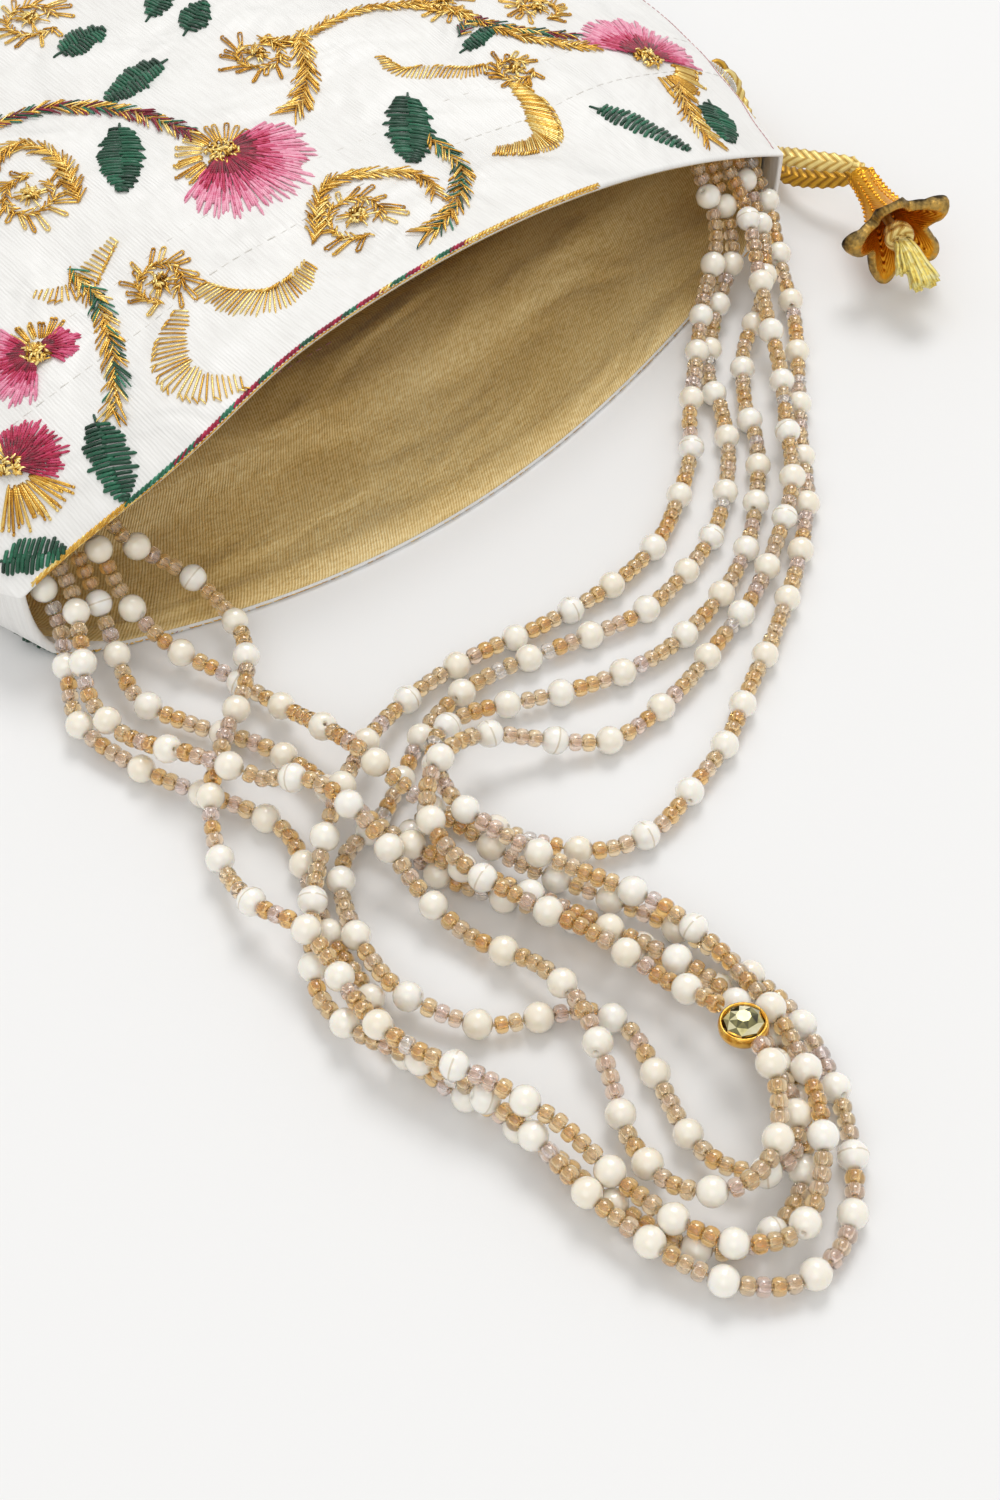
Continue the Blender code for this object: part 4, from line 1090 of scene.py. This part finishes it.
def liningMaterial():
    # gold tissue: a fine cloth woven with flat metal yarn, ribbed from the mouth to the bottom
    paint = Paint("woven gold tissue", "cloth", Roughness=0.42, Metallic=0.15, Anisotropic=0.5, Sheen_Weight=0.25,
                  Sheen_Roughness=0.4)
    ribs = paint.wave(430.0, "X", Distortion=2.2, Detail=2.0, Detail_Scale=0.6)
    weave = paint.maths("MULTIPLY_ADD", ribs, 0.5, paint.noise(1.0, (500.0, 1700.0, 1.0)))
    tone = paint.maths("MULTIPLY", paint.maths("ADD", weave, paint.noise(22.0, Detail=3.0)), 0.4)
    paint.colour(tone, (0.3, "#c29d56"), (0.5, "#e6c886"), (0.7, "#fbe9b6"))
    woven = paint.relief(weave, 0.6, 0.0003)
    paint.relief(paint.noise(1.0, (22.0, 60.0, 1.0), Distortion=0.6), 0.75, 0.006, Normal=woven)
    return paint.material


def casingSwell(depth):
    away = (abs(depth - pouch["casingDepth"]) - pouch["casingHalf"]) / pouch["casingRamp"]
    return 0.5 + 0.5 * math.cos(math.pi * min(max(away, 0.0), 1.0))


def liningInset(depth):
    # over the hem near the rim, against the satin past it, and with room for the braid in the casing
    room = pouch["cordInset"] + pouch["cord"] / 2 + 0.9 - pouch["liningOut"]
    over = min(max((pouch["hemDepth"] + pouch["hemTaper"] - depth) / pouch["hemTaper"], 0.0), 1.0)
    roll = pouch["hem"] / 2
    if depth < roll:
        return roll + math.sqrt(roll ** 2 - (roll - depth) ** 2) + 0.08
    return pouch["liningOut"] + (pouch["hem"] + 0.06 - pouch["liningOut"]) * over + room * casingSwell(depth)


def addPouchCloth():
    full, hem = pouch["length"], pouch["hem"]
    roll = hem / 2
    outer = [(full * math.cos(math.pi / 2 * (k / cloth["outerRows"]) ** 0.9), 0.0)
             for k in range(cloth["outerRows"])]
    outer = [(d, i) for d, i in outer if d > roll + 0.4]
    rolled = [(roll - roll * math.cos(a), roll + roll * math.sin(a)) for a in np.linspace(-1.57, 1.57, 9)]
    turned = [(roll + (pouch["hemDepth"] - roll) * k / 5, hem) for k in range(1, 6)]
    turned.append((pouch["hemDepth"] + pouch["hemTaper"], pouch["satin"]))
    start = pouch["hemDepth"] + pouch["hemTaper"]
    inner = [(start + (full - start) * math.sin(math.pi / 2 * k / cloth["innerRows"]), pouch["satin"])
             for k in range(1, cloth["innerRows"] + 1)]
    satin = clothBag("pouch_satin", outer + rolled + turned + inner, cloth["columns"], satinMaterial())
    depths = [cloth["liningStart"], 0.3, 0.5, 0.84, 1.4, 2.2, 3.0, 4.0, pouch["hemDepth"], 5.5, 6.0, 6.5] + [
        start + (full - start) * math.sin(math.pi / 2 * k / cloth["liningRows"])
        for k in range(cloth["liningRows"] + 1)]
    profile = [(d, liningInset(d)) for d in reversed(depths)]
    profile += [(d, liningInset(d) + (0.1 if d < 1.0 else 0.24 if d <= start else pouch["lining"])) for d in depths]
    lining = clothBag("pouch_lining", profile, cloth["liningColumns"], liningMaterial(), cloth["cornerCut"])
    return satin, lining


satin, lining = addPouchCloth()
print("satin and lining are made")

for piece, slot, nodes in ((satin, "satin", ("front_panel", "back_panel")),
                           (lining, "lining", ("lining_front", "lining_back")),
                           (upperTail[0], "braid", ("drawstring",)), (lowerTail[0], "braid", ("drawstring",)),
                           (casingLoop, "braid", ("drawstring",)), (flowerCap, "stamped_brass", ("flower_bell",)),
                           (flowerDots, "stamped_brass", ("flower_bell",)),
                           (endKnot, "braid", ("drawstring_knot",)), (fringe, "braid", ("tassel_fringe",))):
    declare(piece, slot, *nodes)

# the embroidery: every stitch is one short thread on the cloth, worked in gold zari and in silk

stitchWork = {"zari": 0.48, "silk": 0.62, "lift": 0.3, "flatness": 0.8, "offFloor": 0.45, "seed": 23}
stitchBook = {}
needle = random.Random(stitchWork["seed"])


def onCloth(upper, place, lift):
    depth = min(max(place[1], 0.1), pouch["length"] - 3.0)
    across = min(max(place[0] / halfWidth(depth), -0.9985), 0.9985)
    return Vector(clothPoint(upper, across, depth, -lift))


def sew(upper, colour, start, end, girth=None, lift=None, tint=None):
    girth = girth or (stitchWork["zari"] if colour == "zari" else stitchWork["silk"])
    lift = stitchWork["lift"] if lift is None else lift
    a, b = onCloth(upper, start, lift), onCloth(upper, end, lift)
    middle = ((start[0] + end[0]) / 2, (start[1] + end[1]) / 2)
    here = onCloth(upper, middle, lift)
    east = onCloth(upper, (middle[0] + 0.6, middle[1]), lift) - onCloth(upper, (middle[0] - 0.6, middle[1]), lift)
    north = onCloth(upper, (middle[0], middle[1] + 0.6), lift) - onCloth(upper, (middle[0], middle[1] - 0.6), lift)
    facing = east.cross(north).normalized() * (1 if upper else -1)
    if not upper:
        a.z, b.z = (max(place.z, stitchWork["offFloor"]) for place in (a, b))
        here.z = max(here.z, (a.z + b.z) / 2)
    way = b - a
    if way.length < 0.2:
        return
    if tint is None:
        tint = needle.uniform(0.25, 0.75)
    stitchBook.setdefault((upper, colour), []).append(
        (tuple(here), tuple(way.normalized()), tuple(facing),
         (way.length, girth * needle.uniform(0.9, 1.1), girth * stitchWork["flatness"]), tint))


def alongPath(points, step):
    line, run = smoothCurve([(x, d, 0.0) for x, d in points], step)
    way = np.gradient(line, axis=0)
    way /= np.linalg.norm(way, axis=1)[:, None] + 1e-9
    return line[:, :2], way[:, :2], run


def satinLeaf(upper, base, tip, width, gap=1.02, slant=0.45):
    # two rows of full stitches that meet on the midrib at a shallow angle
    base, tip = np.array(base, float), np.array(tip, float)
    length = np.linalg.norm(tip - base)
    way = (tip - base) / length
    side = leftOf(way)
    for k in range(int(length / gap) + 1):
        share = min((k + 0.5) * gap / length, 0.999)
        half = width / 2 * math.sin(math.pi * min(share * 0.9 + 0.06, 1.0) ** 0.85) ** 0.6
        spot = base + way * share * length
        for hand in (-1, 1):
            reach = half * needle.uniform(0.8, 1.16)
            root = spot - side * hand * needle.uniform(0.1, 1.1) + way * needle.uniform(-0.2, 0.2)
            end = spot + side * hand * reach + way * (slant if hand > 0 else -0.25 * slant) * reach * 0.75
            tone = 0.35 + 0.25 * math.sin(3.0 * share + (1 if hand > 0 else -1)) + needle.uniform(-0.2, 0.2)
            sew(upper, "green", root, end, girth=0.92, lift=needle.uniform(0.3, 0.6), tint=min(max(tone, 0), 1))
    for k in range(3):
        start = base - way * (0.5 + k * 0.9)
        sew(upper, "green", start, start + way * 2.4 + side * needle.uniform(-0.3, 0.3), lift=0.2, tint=0.3)


def fan(upper, centre, turns, inner, outer, tints, gap, lift, ragged=0.14):
    # pink straight stitches that spread from a centre, their ends ragged
    first, last = (math.radians(t) for t in turns)
    count = max(int(abs(last - first) * outer * 0.72 / gap), 3)
    for k in range(count + 1):
        share = k / count
        heading = unit(first + (last - first) * share + needle.uniform(-0.02, 0.02))
        bulge = 0.86 + 0.14 * math.sin(math.pi * share)
        far = outer * bulge * (1 + needle.uniform(-ragged, ragged))
        near = inner * needle.uniform(0.85, 1.25)
        tint = tints[0] + (tints[1] - tints[0]) * needle.random()
        sew(upper, "pink", centre + heading * near, centre + heading * far, lift=lift, tint=tint)


def flowerKnot(upper, centre, radius):
    # a heap of short zari stitches, with a few dull ones deep in it
    for _ in range(int(radius * 16)):
        turn = needle.uniform(0, 2 * math.pi)
        away = radius * math.sqrt(needle.random()) * 0.85
        spot = np.array(centre) + unit(turn) * away
        turn = needle.uniform(0, 2 * math.pi)
        half = unit(turn) * needle.uniform(0.5, 1.1)
        high = (1 - away / radius) * 0.9
        sew(upper, "zari", spot - half, spot + half, girth=needle.uniform(0.45, 0.75),
            lift=needle.uniform(0.5, 1.1) + high, tint=needle.choice((0.0, 0.5, 0.8, 1.0, 1.1)))


def fanFlower(upper, centre, turns, radius, deep, knot):
    centre = np.array(centre, float)
    fan(upper, centre, turns, radius * 0.55, radius, (deep, 0.16 + deep), gap=0.5, lift=0.3)
    fan(upper, centre, turns, radius * 0.42, radius * 0.88, (0.08 + deep, 0.34 + deep), gap=0.75, lift=0.5)
    fan(upper, centre, turns, radius * 0.24, radius * 0.66, (0.34 + deep, 0.6 + deep * 0.5), gap=0.6, lift=0.7)
    fan(upper, centre, turns, radius * 0.08, radius * 0.46, (0.66, 1.0), gap=0.46, lift=0.9)
    flowerKnot(upper, centre, knot)


def openLoop(upper, root, tip, width):
    # one zari loop: two long threads and a short one round their end
    root, tip = np.array(root, float), np.array(tip, float)
    way = (tip - root) / (np.linalg.norm(tip - root) + 1e-9)
    side = leftOf(way) * width / 2
    tint = needle.uniform(0.25, 0.95)
    sew(upper, "zari", root - side * 0.5, tip - side - way * 0.2, tint=tint)
    sew(upper, "zari", root + side * 0.5, tip + side - way * 0.3, tint=tint, lift=0.4)
    sew(upper, "zari", tip - side * 1.1 - way * 0.3, tip + way * 0.25, tint=tint, lift=0.4)
    sew(upper, "zari", tip + way * 0.25, tip + side * 1.1 - way * 0.4, tint=tint, lift=0.4)


def combFan(upper, centre, turns, inner, outer, gap):
    # open zari loops that stand round the back of a flower
    first, last = (math.radians(t) for t in turns)
    count = max(int(abs(last - first) * (inner + outer) / 2 / gap), 2)
    for k in range(count + 1):
        turn = first + (last - first) * k / count + needle.uniform(-0.05, 0.05)
        heading = unit(turn)
        curl = leftOf(heading) * needle.uniform(0.2, 1.0)
        openLoop(upper, np.array(centre) + heading * inner * needle.uniform(0.9, 1.1),
                 np.array(centre) + heading * outer * needle.uniform(0.88, 1.08) + curl, gap * 0.62)


def combCrescent(upper, points, width, gap, lean, flip):
    # side by side zari stitches across a curved path, longest in its middle
    line, way, run = alongPath(points, gap * 1.2)
    for k, (spot, heading) in enumerate(zip(line, way)):
        share = run[k] / run[-1]
        half = width / 2 * (0.3 + 0.8 * math.sin(math.pi * (0.08 + 0.84 * share)))
        side = leftOf(heading) * flip
        slope = side + heading * lean
        a = spot - slope * half * needle.uniform(0.8, 1.15)
        b = spot + slope * half * needle.uniform(0.85, 1.1)
        sew(upper, "zari", a, b, tint=needle.uniform(0.35, 1.1))
        if needle.random() < 0.65:
            sew(upper, "zari", spot + slope * half * 0.7, spot + slope * half + heading * gap * 1.6, lift=0.45,
                tint=needle.uniform(0.4, 1.0))


def ropeVine(upper, points, width, tones=("zari",), gap=0.36, spread=0.62):
    # slanting stitches to both sides of a path, which look like a twisted rope
    line, way = alongPath(points, gap)[:2]
    for k, (spot, heading) in enumerate(zip(line, way)):
        hand = 1 if k % 2 else -1
        side = leftOf(heading) * hand
        tone = tones[int(needle.random() * len(tones))]
        tint = needle.uniform(0.2, 1.0)
        if tone == "maroon":
            tone, tint = "pink", needle.uniform(0.78, 1.0)
        a = spot - heading * width * 0.75 - side * needle.uniform(0.0, 0.25) * width
        b = spot + heading * width * needle.uniform(0.2, 0.75) + side * width * spread * needle.uniform(0.55, 1.45)
        sew(upper, tone, a, b, lift=0.35 + 0.45 * needle.random(), girth=0.46, tint=tint)


def sunRosette(upper, centre, radius, rays=14, strewn=16):
    # an open spiral of rope with rays that sweep round outside it, and loose zari strewn in the middle
    centre = np.array(centre, float)
    begin = needle.uniform(0, 2 * math.pi)
    hand = needle.choice((-1, 1))
    ring = [tuple(centre + unit(begin + hand * t) * radius * (0.68 - 0.03 * t)) for t in np.linspace(0, 5.4, 18)]
    ropeVine(upper, ring, 2.0, gap=0.6, spread=0.55)
    for k in range(rays):
        heading = unit(begin + hand * (5.6 * k / rays + needle.uniform(-0.12, 0.12)))
        sweep = leftOf(heading) * hand * radius * needle.uniform(0.15, 0.5)
        far = centre + heading * radius * needle.uniform(0.88, 1.2) + sweep
        openLoop(upper, centre + heading * radius * 0.6, far, needle.uniform(0.6, 1.2))
    flowerKnot(upper, centre, radius * 0.24)
    for _ in range(strewn):
        heading = unit(needle.uniform(0, 2 * math.pi))
        curl = leftOf(heading) * radius * needle.uniform(-0.2, 0.3)
        sew(upper, "zari", centre + heading * radius * 0.08,
            centre + heading * radius * needle.uniform(0.3, 0.52) + curl, lift=0.6, tint=needle.uniform(0.3, 1.1))


leaves = (((-3, 95), (-20, 93), 9), ((-24, 82), (-36, 63), 10), ((-18, 114), (-5, 115), 8), ((9, 101), (18, 106), 8),
          ((33, 49), (18, 30), 11), ((-77.5, 18), (-83.5, 1.5), 9.5), ((-108, 9), (-98, 1.2), 8),
          ((100, 17), (94, 5), 9), ((6, 112), (16, 117), 7), ((57, 57), (69, 60), 4.5),
          ((84, 88), (96, 74), 9), ((14, 157), (27, 164), 9))
fanFlowers = (((-13, 57), (14, -158), 19.5, 0.0), ((95, 35), (140, -18), 17.5, 0.02),
              ((-76, 40), (100, 232), 13.0, 0.05), ((-95, 22), (75, -62), 10.5, 0.42),
              ((-50, 150), (10, -165), 17.0, 0.0))
rosettes = (((16, 83), 8.2), ((-51, 76), 9.0), ((-46, 36), 8.0), ((-4, 22), 9.5), ((62, 45), 6.0), ((64, 74), 7.0),
            ((85, 63), 7.5), ((-16, 128), 9.0))
crescents = ((((38, 65), (38, 58), (44, 54), (51, 50), (57, 49)), 4.6, 0.8, 0.5, 1),
             (((59, 41), (57, 31), (51, 22), (44, 21), (37, 23)), 7.0, 0.5, 0.6, 1),
             (((-41, 29), (-39, 22), (-34, 16), (-27, 15), (-20, 18)), 7.0, 0.75, 0.35, 1),
             (((-48, 27), (-55, 22), (-59, 15), (-57, 8), (-51, 3)), 7.5, 1.0, 0.1, -1),
             (((-46, 53), (-53, 51), (-58, 49), (-63, 50), (-67, 54)), 5.5, 0.95, 0.1, 1))
vines = ((((-46, 103), (-33, 100), (-26, 95), (-19, 85), (-16, 74), (-14, 66)), 3.4,
          ("maroon", "zari", "maroon", "zari", "green")),
         (((20, 85), (28, 82), (44, 84), (55, 79), (64, 70), (69, 58), (78, 47), (86, 42)), 2.6, ("zari",)),
         (((28, 82), (21, 71), (14, 64), (8, 61)), 4.0, ("zari",)),
         (((27, 33), (25, 22), (17, 13), (7, 8), (1, 8)), 3.6, ("zari", "zari", "zari", "green")),
         (((-58, 52), (-59, 42), (-64, 31), (-69, 22), (-75, 16)), 3.6, ("zari", "zari", "green")),
         (((-44, 69), (-40, 82), (-44, 92), (-52, 90)), 3.4, ("zari",)),
         (((-14, 24), (-3, 34), (7, 32), (15, 24), (13, 15)), 3.2, ("zari",)),
         (((95, 23), (90, 13), (88, 4)), 4.4, ("zari",)),
         (((60, 62), (66, 64), (74, 56), (84, 48)), 2.4, ("zari", "maroon", "green")))


def embroider(upper):
    for base, tip, width in leaves:
        satinLeaf(upper, base, tip, width)
    satinLeaf(upper, (68, 23), (79, 4), 7.5, gap=1.2, slant=0.5)
    for centre, turns, radius, deep in fanFlowers:
        fanFlower(upper, centre, turns, radius, deep, knot=radius * 0.2 + 0.6)
    fanFlower(upper, (-75, 41), (15, -75), 8.0, 0.3, knot=1.4)
    combFan(upper, (-13, 57), (18, 150), 4.5, 10.5, gap=1.7)
    combFan(upper, (-13, 57), (-160, -208), 5.0, 11.5, gap=1.3)
    combFan(upper, (95, 35), (-25, -110), 7.0, 14.0, gap=0.9)
    combFan(upper, (-95, 22), (-66, -140), 4.0, 13.0, gap=0.5)
    combFan(upper, (-95, 22), (75, 170), 3.0, 8.0, gap=0.9)
    combFan(upper, (-76, 40), (20, 95), 4.0, 9.0, gap=0.9)
    for centre, radius in rosettes:
        sunRosette(upper, centre, radius)
    for points, width, gap, lean, flip in crescents:
        combCrescent(upper, points, width, gap, lean, flip)
    for points, width, tones in vines:
        ropeVine(upper, points, width, tones)
    # the rest of the panel repeats the same forms down to the bottom seam
    scroll = ((0, 0), (12, -3), (22, 3), (28, 14), (24, 25), (14, 28), (8, 21))
    for x, d, mirror in ((30, 118, 1), (-58, 116, -1), (-98, 140, 1), (74, 168, -1), (-30, 176, 1), (22, 214, -1),
                         (-70, 200, -1), (88, 92, 1)):
        moved = [(x + mirror * a, d + b) for a, b in scroll]
        ropeVine(upper, moved, 3.2, ("zari", "zari", "zari", "maroon"))
        sunRosette(upper, (x + mirror * 16, d + 13), 7.5)
        comb = [(x - mirror * 3, d + 2), (x - mirror * 8, d + 9), (x - mirror * 8, d + 17), (x - mirror * 3, d + 24)]
        combCrescent(upper, comb, 6.0, 0.85, 0.3, mirror)
        satinLeaf(upper, (x + mirror * 30, d + 6), (x + mirror * 42, d - 2), 9)
    for base, tip, width in (((66, 146), (80, 140), 9), ((40, 196), (52, 204), 8), ((-22, 160), (-10, 168), 9),
                             ((-84, 112), (-96, 100), 9), ((-98, 186), (-88, 196), 8), ((108, 124), (114, 110), 9),
                             ((-60, 176), (-52, 188), 9), ((6, 128), (16, 138), 9)):
        satinLeaf(upper, base, tip, width)
    for centre, turns, radius in (((96, 140), (20, -150), 15.0), ((0, 200), (20, -165), 15.0),
                                  ((-104, 100), (40, -130), 14.0), ((52, 184), (150, -20), 14.0)):
        fanFlower(upper, centre, turns, radius, 0.0, knot=3.2)


trim = {"from": -106.0, "upperEnd": 46.0, "lowerEnd": 106.0, "pitch": 1.02, "seamStitches": 110, "seamFrom": 3.0,
        "seamPitch": 1.6, "seamIn": 3.4}


def addTrims():
    # corded edging where the satin turns in, the casing's rows and the rose thread down the right side seam
    for upper in (True, False):
        x = trim["from"]
        while x < (trim["upperEnd"] if upper else trim["lowerEnd"]):
            if not upper:
                tone = ("zari", "zari", "zari", "maroon")[int(needle.random() * 4)]
            elif x < -84:
                tone = "zari"
            elif x < -69:
                tone = ("green", "maroon")[needle.random() < 0.25]
            elif x < -16:
                tone = ("maroon", "maroon", "green")[int((x / 3.7) % 3)]
            elif x < 8:
                tone = ("green", "maroon", "zari")[int((x / 4.1) % 3)]
            else:
                tone = "zari"
            tint = needle.uniform(0.4, 1.0)
            if tone == "maroon":
                tone, tint = "pink", needle.uniform(0.62, 0.88)
            middle, low = 0.62, -0.1
            for hand in (-1, 1) if upper or needle.random() < 0.5 else ():
                sew(upper, tone, (x - 1.1, middle - hand * 0.42), (x + 1.2, middle + hand * 0.42),
                    girth=0.55, lift=low + 0.1 * hand, tint=tint)
            if upper or needle.random() < 0.4:
                sew(upper, "zari", (x - 0.8, 0.12), (x + 0.8, 0.16), girth=0.5, lift=-0.62,
                    tint=needle.uniform(0.3, 0.9))
            x += trim["pitch"]
    for upper in (True, False):
        for depth in cloth["stitchDepths"]:
            x = -halfWidth(depth) + cloth["sewnFrom"]
            while x < halfWidth(depth) - cloth["sewnFrom"]:
                sew(upper, "white", (x, depth), (x + 2.3, depth), girth=0.38, lift=0.05)
                x += cloth["sewnPitch"]
    for k in range(trim["seamStitches"]):
        depth = trim["seamFrom"] + k * trim["seamPitch"]
        edge = halfWidth(depth) - trim["seamIn"]
        sway = 0.5 * math.sin(0.35 * depth)
        sew(True, "casing", (edge + sway - 0.2, depth - 0.8), (edge + sway + 0.2, depth + 0.8), girth=0.32, lift=0.1,
            tint=needle.uniform(0.4, 1.0))


def addCasingThread():
    # the other side of the casing's two rows of stitches shows as faint rose thread on the lining
    for upper in (True, False):
        surface = upperPoint if upper else lowerPoint
        for line in cloth["stitchDepths"]:
            inset = liningInset(line) + pouch["lining"] + 0.08
            width = halfWidth(line)
            x = cloth["sewnFrom"] - width
            while x < width - cloth["sewnFrom"]:
                d = line + needle.uniform(-0.15, 0.15)
                a, b = Vector(surface(x / width, d, inset)), Vector(surface((x + 2.0) / width, d, inset))
                facing = Vector((0, 0, -1 if upper else 1))
                stitchBook.setdefault((upper, "casing"), []).append(
                    (tuple((a + b) / 2), tuple((b - a).normalized()), tuple(facing),
                     ((b - a).length, 0.34, 0.26), needle.uniform(0.3, 0.5)))
                x += cloth["sewnPitch"]


eyelet = {"stitches": 46, "half": 6.2, "rise": 3.2, "out": 0.15, "bend": 0.05, "thread": (1.8, 0.6, 0.5)}


def addEyelet():
    # buttonhole stitches round the slit where the drawstring's ends come out
    middle = Vector((halfWidth(pouch["casingDepth"]) + eyelet["out"], mouthY + pouch["casingDepth"],
                     seamHeight(pouch["casingDepth"])))
    for k in range(eyelet["stitches"]):
        turn = 2 * math.pi * k / eyelet["stitches"]
        out = Vector((0, math.cos(turn) * eyelet["half"], math.sin(turn) * eyelet["rise"]))
        heading = Vector((0, math.cos(turn), math.sin(turn) * 1.6)).normalized()
        spot = middle + out - Vector((eyelet["bend"] * out.z ** 2, 0, 0))
        stitchBook.setdefault((True, "white"), []).append(
            (tuple(spot), tuple(heading), (1.0, 0.0, 0.15 * out.z), eyelet["thread"], needle.uniform(0.2, 0.9)))


embroider(True)
embroider(False)
addTrims()
addEyelet()
addCasingThread()


def stitchShape():
    # a thread 1 long and 1 thick whose two ends dive into the cloth
    sides = 5
    points = [(x, r * math.cos(2 * math.pi * k / sides), r * math.sin(2 * math.pi * k / sides) + drop)
              for x, r, drop in ((-0.5, 0.2, -0.75), (-0.4, 0.5, -0.12), (0.0, 0.5, 0.1), (0.4, 0.5, -0.12),
                                 (0.5, 0.2, -0.75)) for k in range(sides)]
    return faceOutwards(addPiece("stitch_pattern", points, ringFaces(5, sides), None))


def flossMaterial(name, metal, rough, sheen, *stops):
    paint = Paint(name, Metallic=metal, Roughness=rough, Sheen_Weight=sheen, Sheen_Roughness=0.35, Anisotropic=0.4)
    cloud = paint.spread(paint.noise(900.0), 0.3, 0.7, -0.1, 0.1)
    paint.colour(paint.maths("ADD", paint.value("tint"), cloud), *stops)
    paint.relief(paint.wave(700.0, "DIAGONAL", Distortion=3.0, Detail=1.0), 0.35, 0.0001)
    return paint.material


# zari is flat metallised strip wound on a core, so it glitters gold with brown gaps; silk floss is soft twisted
# strands whose shine runs along the stitch
threadPaints = {
    "zari": flossMaterial("gold zari thread", 0.85, 0.34, 0.0, (0.0, "#855a1a"), (0.35, "#c9943a"), (0.7, "#e8bb58"),
                          (1.0, "#fae092")),
    "green": flossMaterial("green silk floss", 0.0, 0.42, 0.25, (0.0, "#06301f"), (0.4, "#0d4a32"), (0.75, "#1a6a4b"),
                           (1.0, "#3b8d6e")),
    "pink": flossMaterial("pink and maroon silk floss", 0.0, 0.45, 0.25, (0.0, "#f4b2c6"), (0.2, "#ea8cab"),
                          (0.4, "#d84f7c"), (0.6, "#b81546"), (0.85, "#820c2c"), (1.0, "#5e0a1c")),
    "white": flossMaterial("white polyester sewing thread", 0.0, 0.5, 0.2, (0.0, "#dddad4"), (1.0, "#f0eeea")),
    "casing": flossMaterial("rose polyester sewing thread", 0.0, 0.5, 0.2, (0.0, "#a8737a"), (1.0, "#d0a0a0"))}
layStitches, stitchPattern = layingTree("lay stitches", "X", facing=True), stitchShape()
needlework = {}
for (upper, colour), stitches in stitchBook.items():
    name = "embroidery_%s_%s" % ("front" if upper else "back", {"zari": "gold"}.get(colour, colour))
    needlework[name] = layCopies(name, stitches, ("heading", "facing", "size"), stitchPattern, layStitches,
                                 threadPaints[colour])
bpy.data.objects.remove(stitchPattern, do_unlink=True)
print("embroidery:", sum(len(s) for s in stitchBook.values()), "stitches")


def addTab(way, middle):
    # a folded satin ribbon under the rim that the five threads are sewn to
    stations, section = 30, 16
    points = []
    for k in range(stations + 1):
        share = math.sin(math.pi / 2 * (2 * k / stations - 1))
        half = strand["tabWidth"] / 2 * (1 - abs(share) ** 5) ** 0.4 + 0.02
        for j in range(section):
            turn = 2 * math.pi * j / section
            depth = strand["tabDepth"] + half * math.cos(turn)
            inset = strand["tabInset"] + strand["tabThick"] / 2 + 0.95 * math.sin(turn) * min(half / 1.2, 1.0)
            points.append(upperPoint((middle + strand["tabHalf"] * share) / halfWidth(depth), depth, inset))
    piece = addPiece("handle_ribbon_" + way, points, ringFaces(stations + 1, section), None)
    layer = piece.data.uv_layers.new(name="cloth")
    for loop, value in zip(piece.data.loops, layer.data):
        spot = piece.data.vertices[loop.vertex_index].co
        value.uv = (spot.x, spot.y)
    piece.data.materials.append(satin.data.materials[0])
    return faceOutwards(piece)


for way, middle in strand["tabMiddles"].items():
    declare(addTab(way, middle), "satin", "handle_tab_" + way)
threadSlots = {"green": "leaf_thread", "white": "satin", "casing": "lining"}
for name, piece in needlework.items():
    declare(piece, threadSlots.get(name.split("_")[-1], "flower_thread"))
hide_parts(*["embroidery_flower_%d" % k for k in range(1, 6)])
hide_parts(*["embroidery_leaf_%02d" % k for k in range(1, 13)])
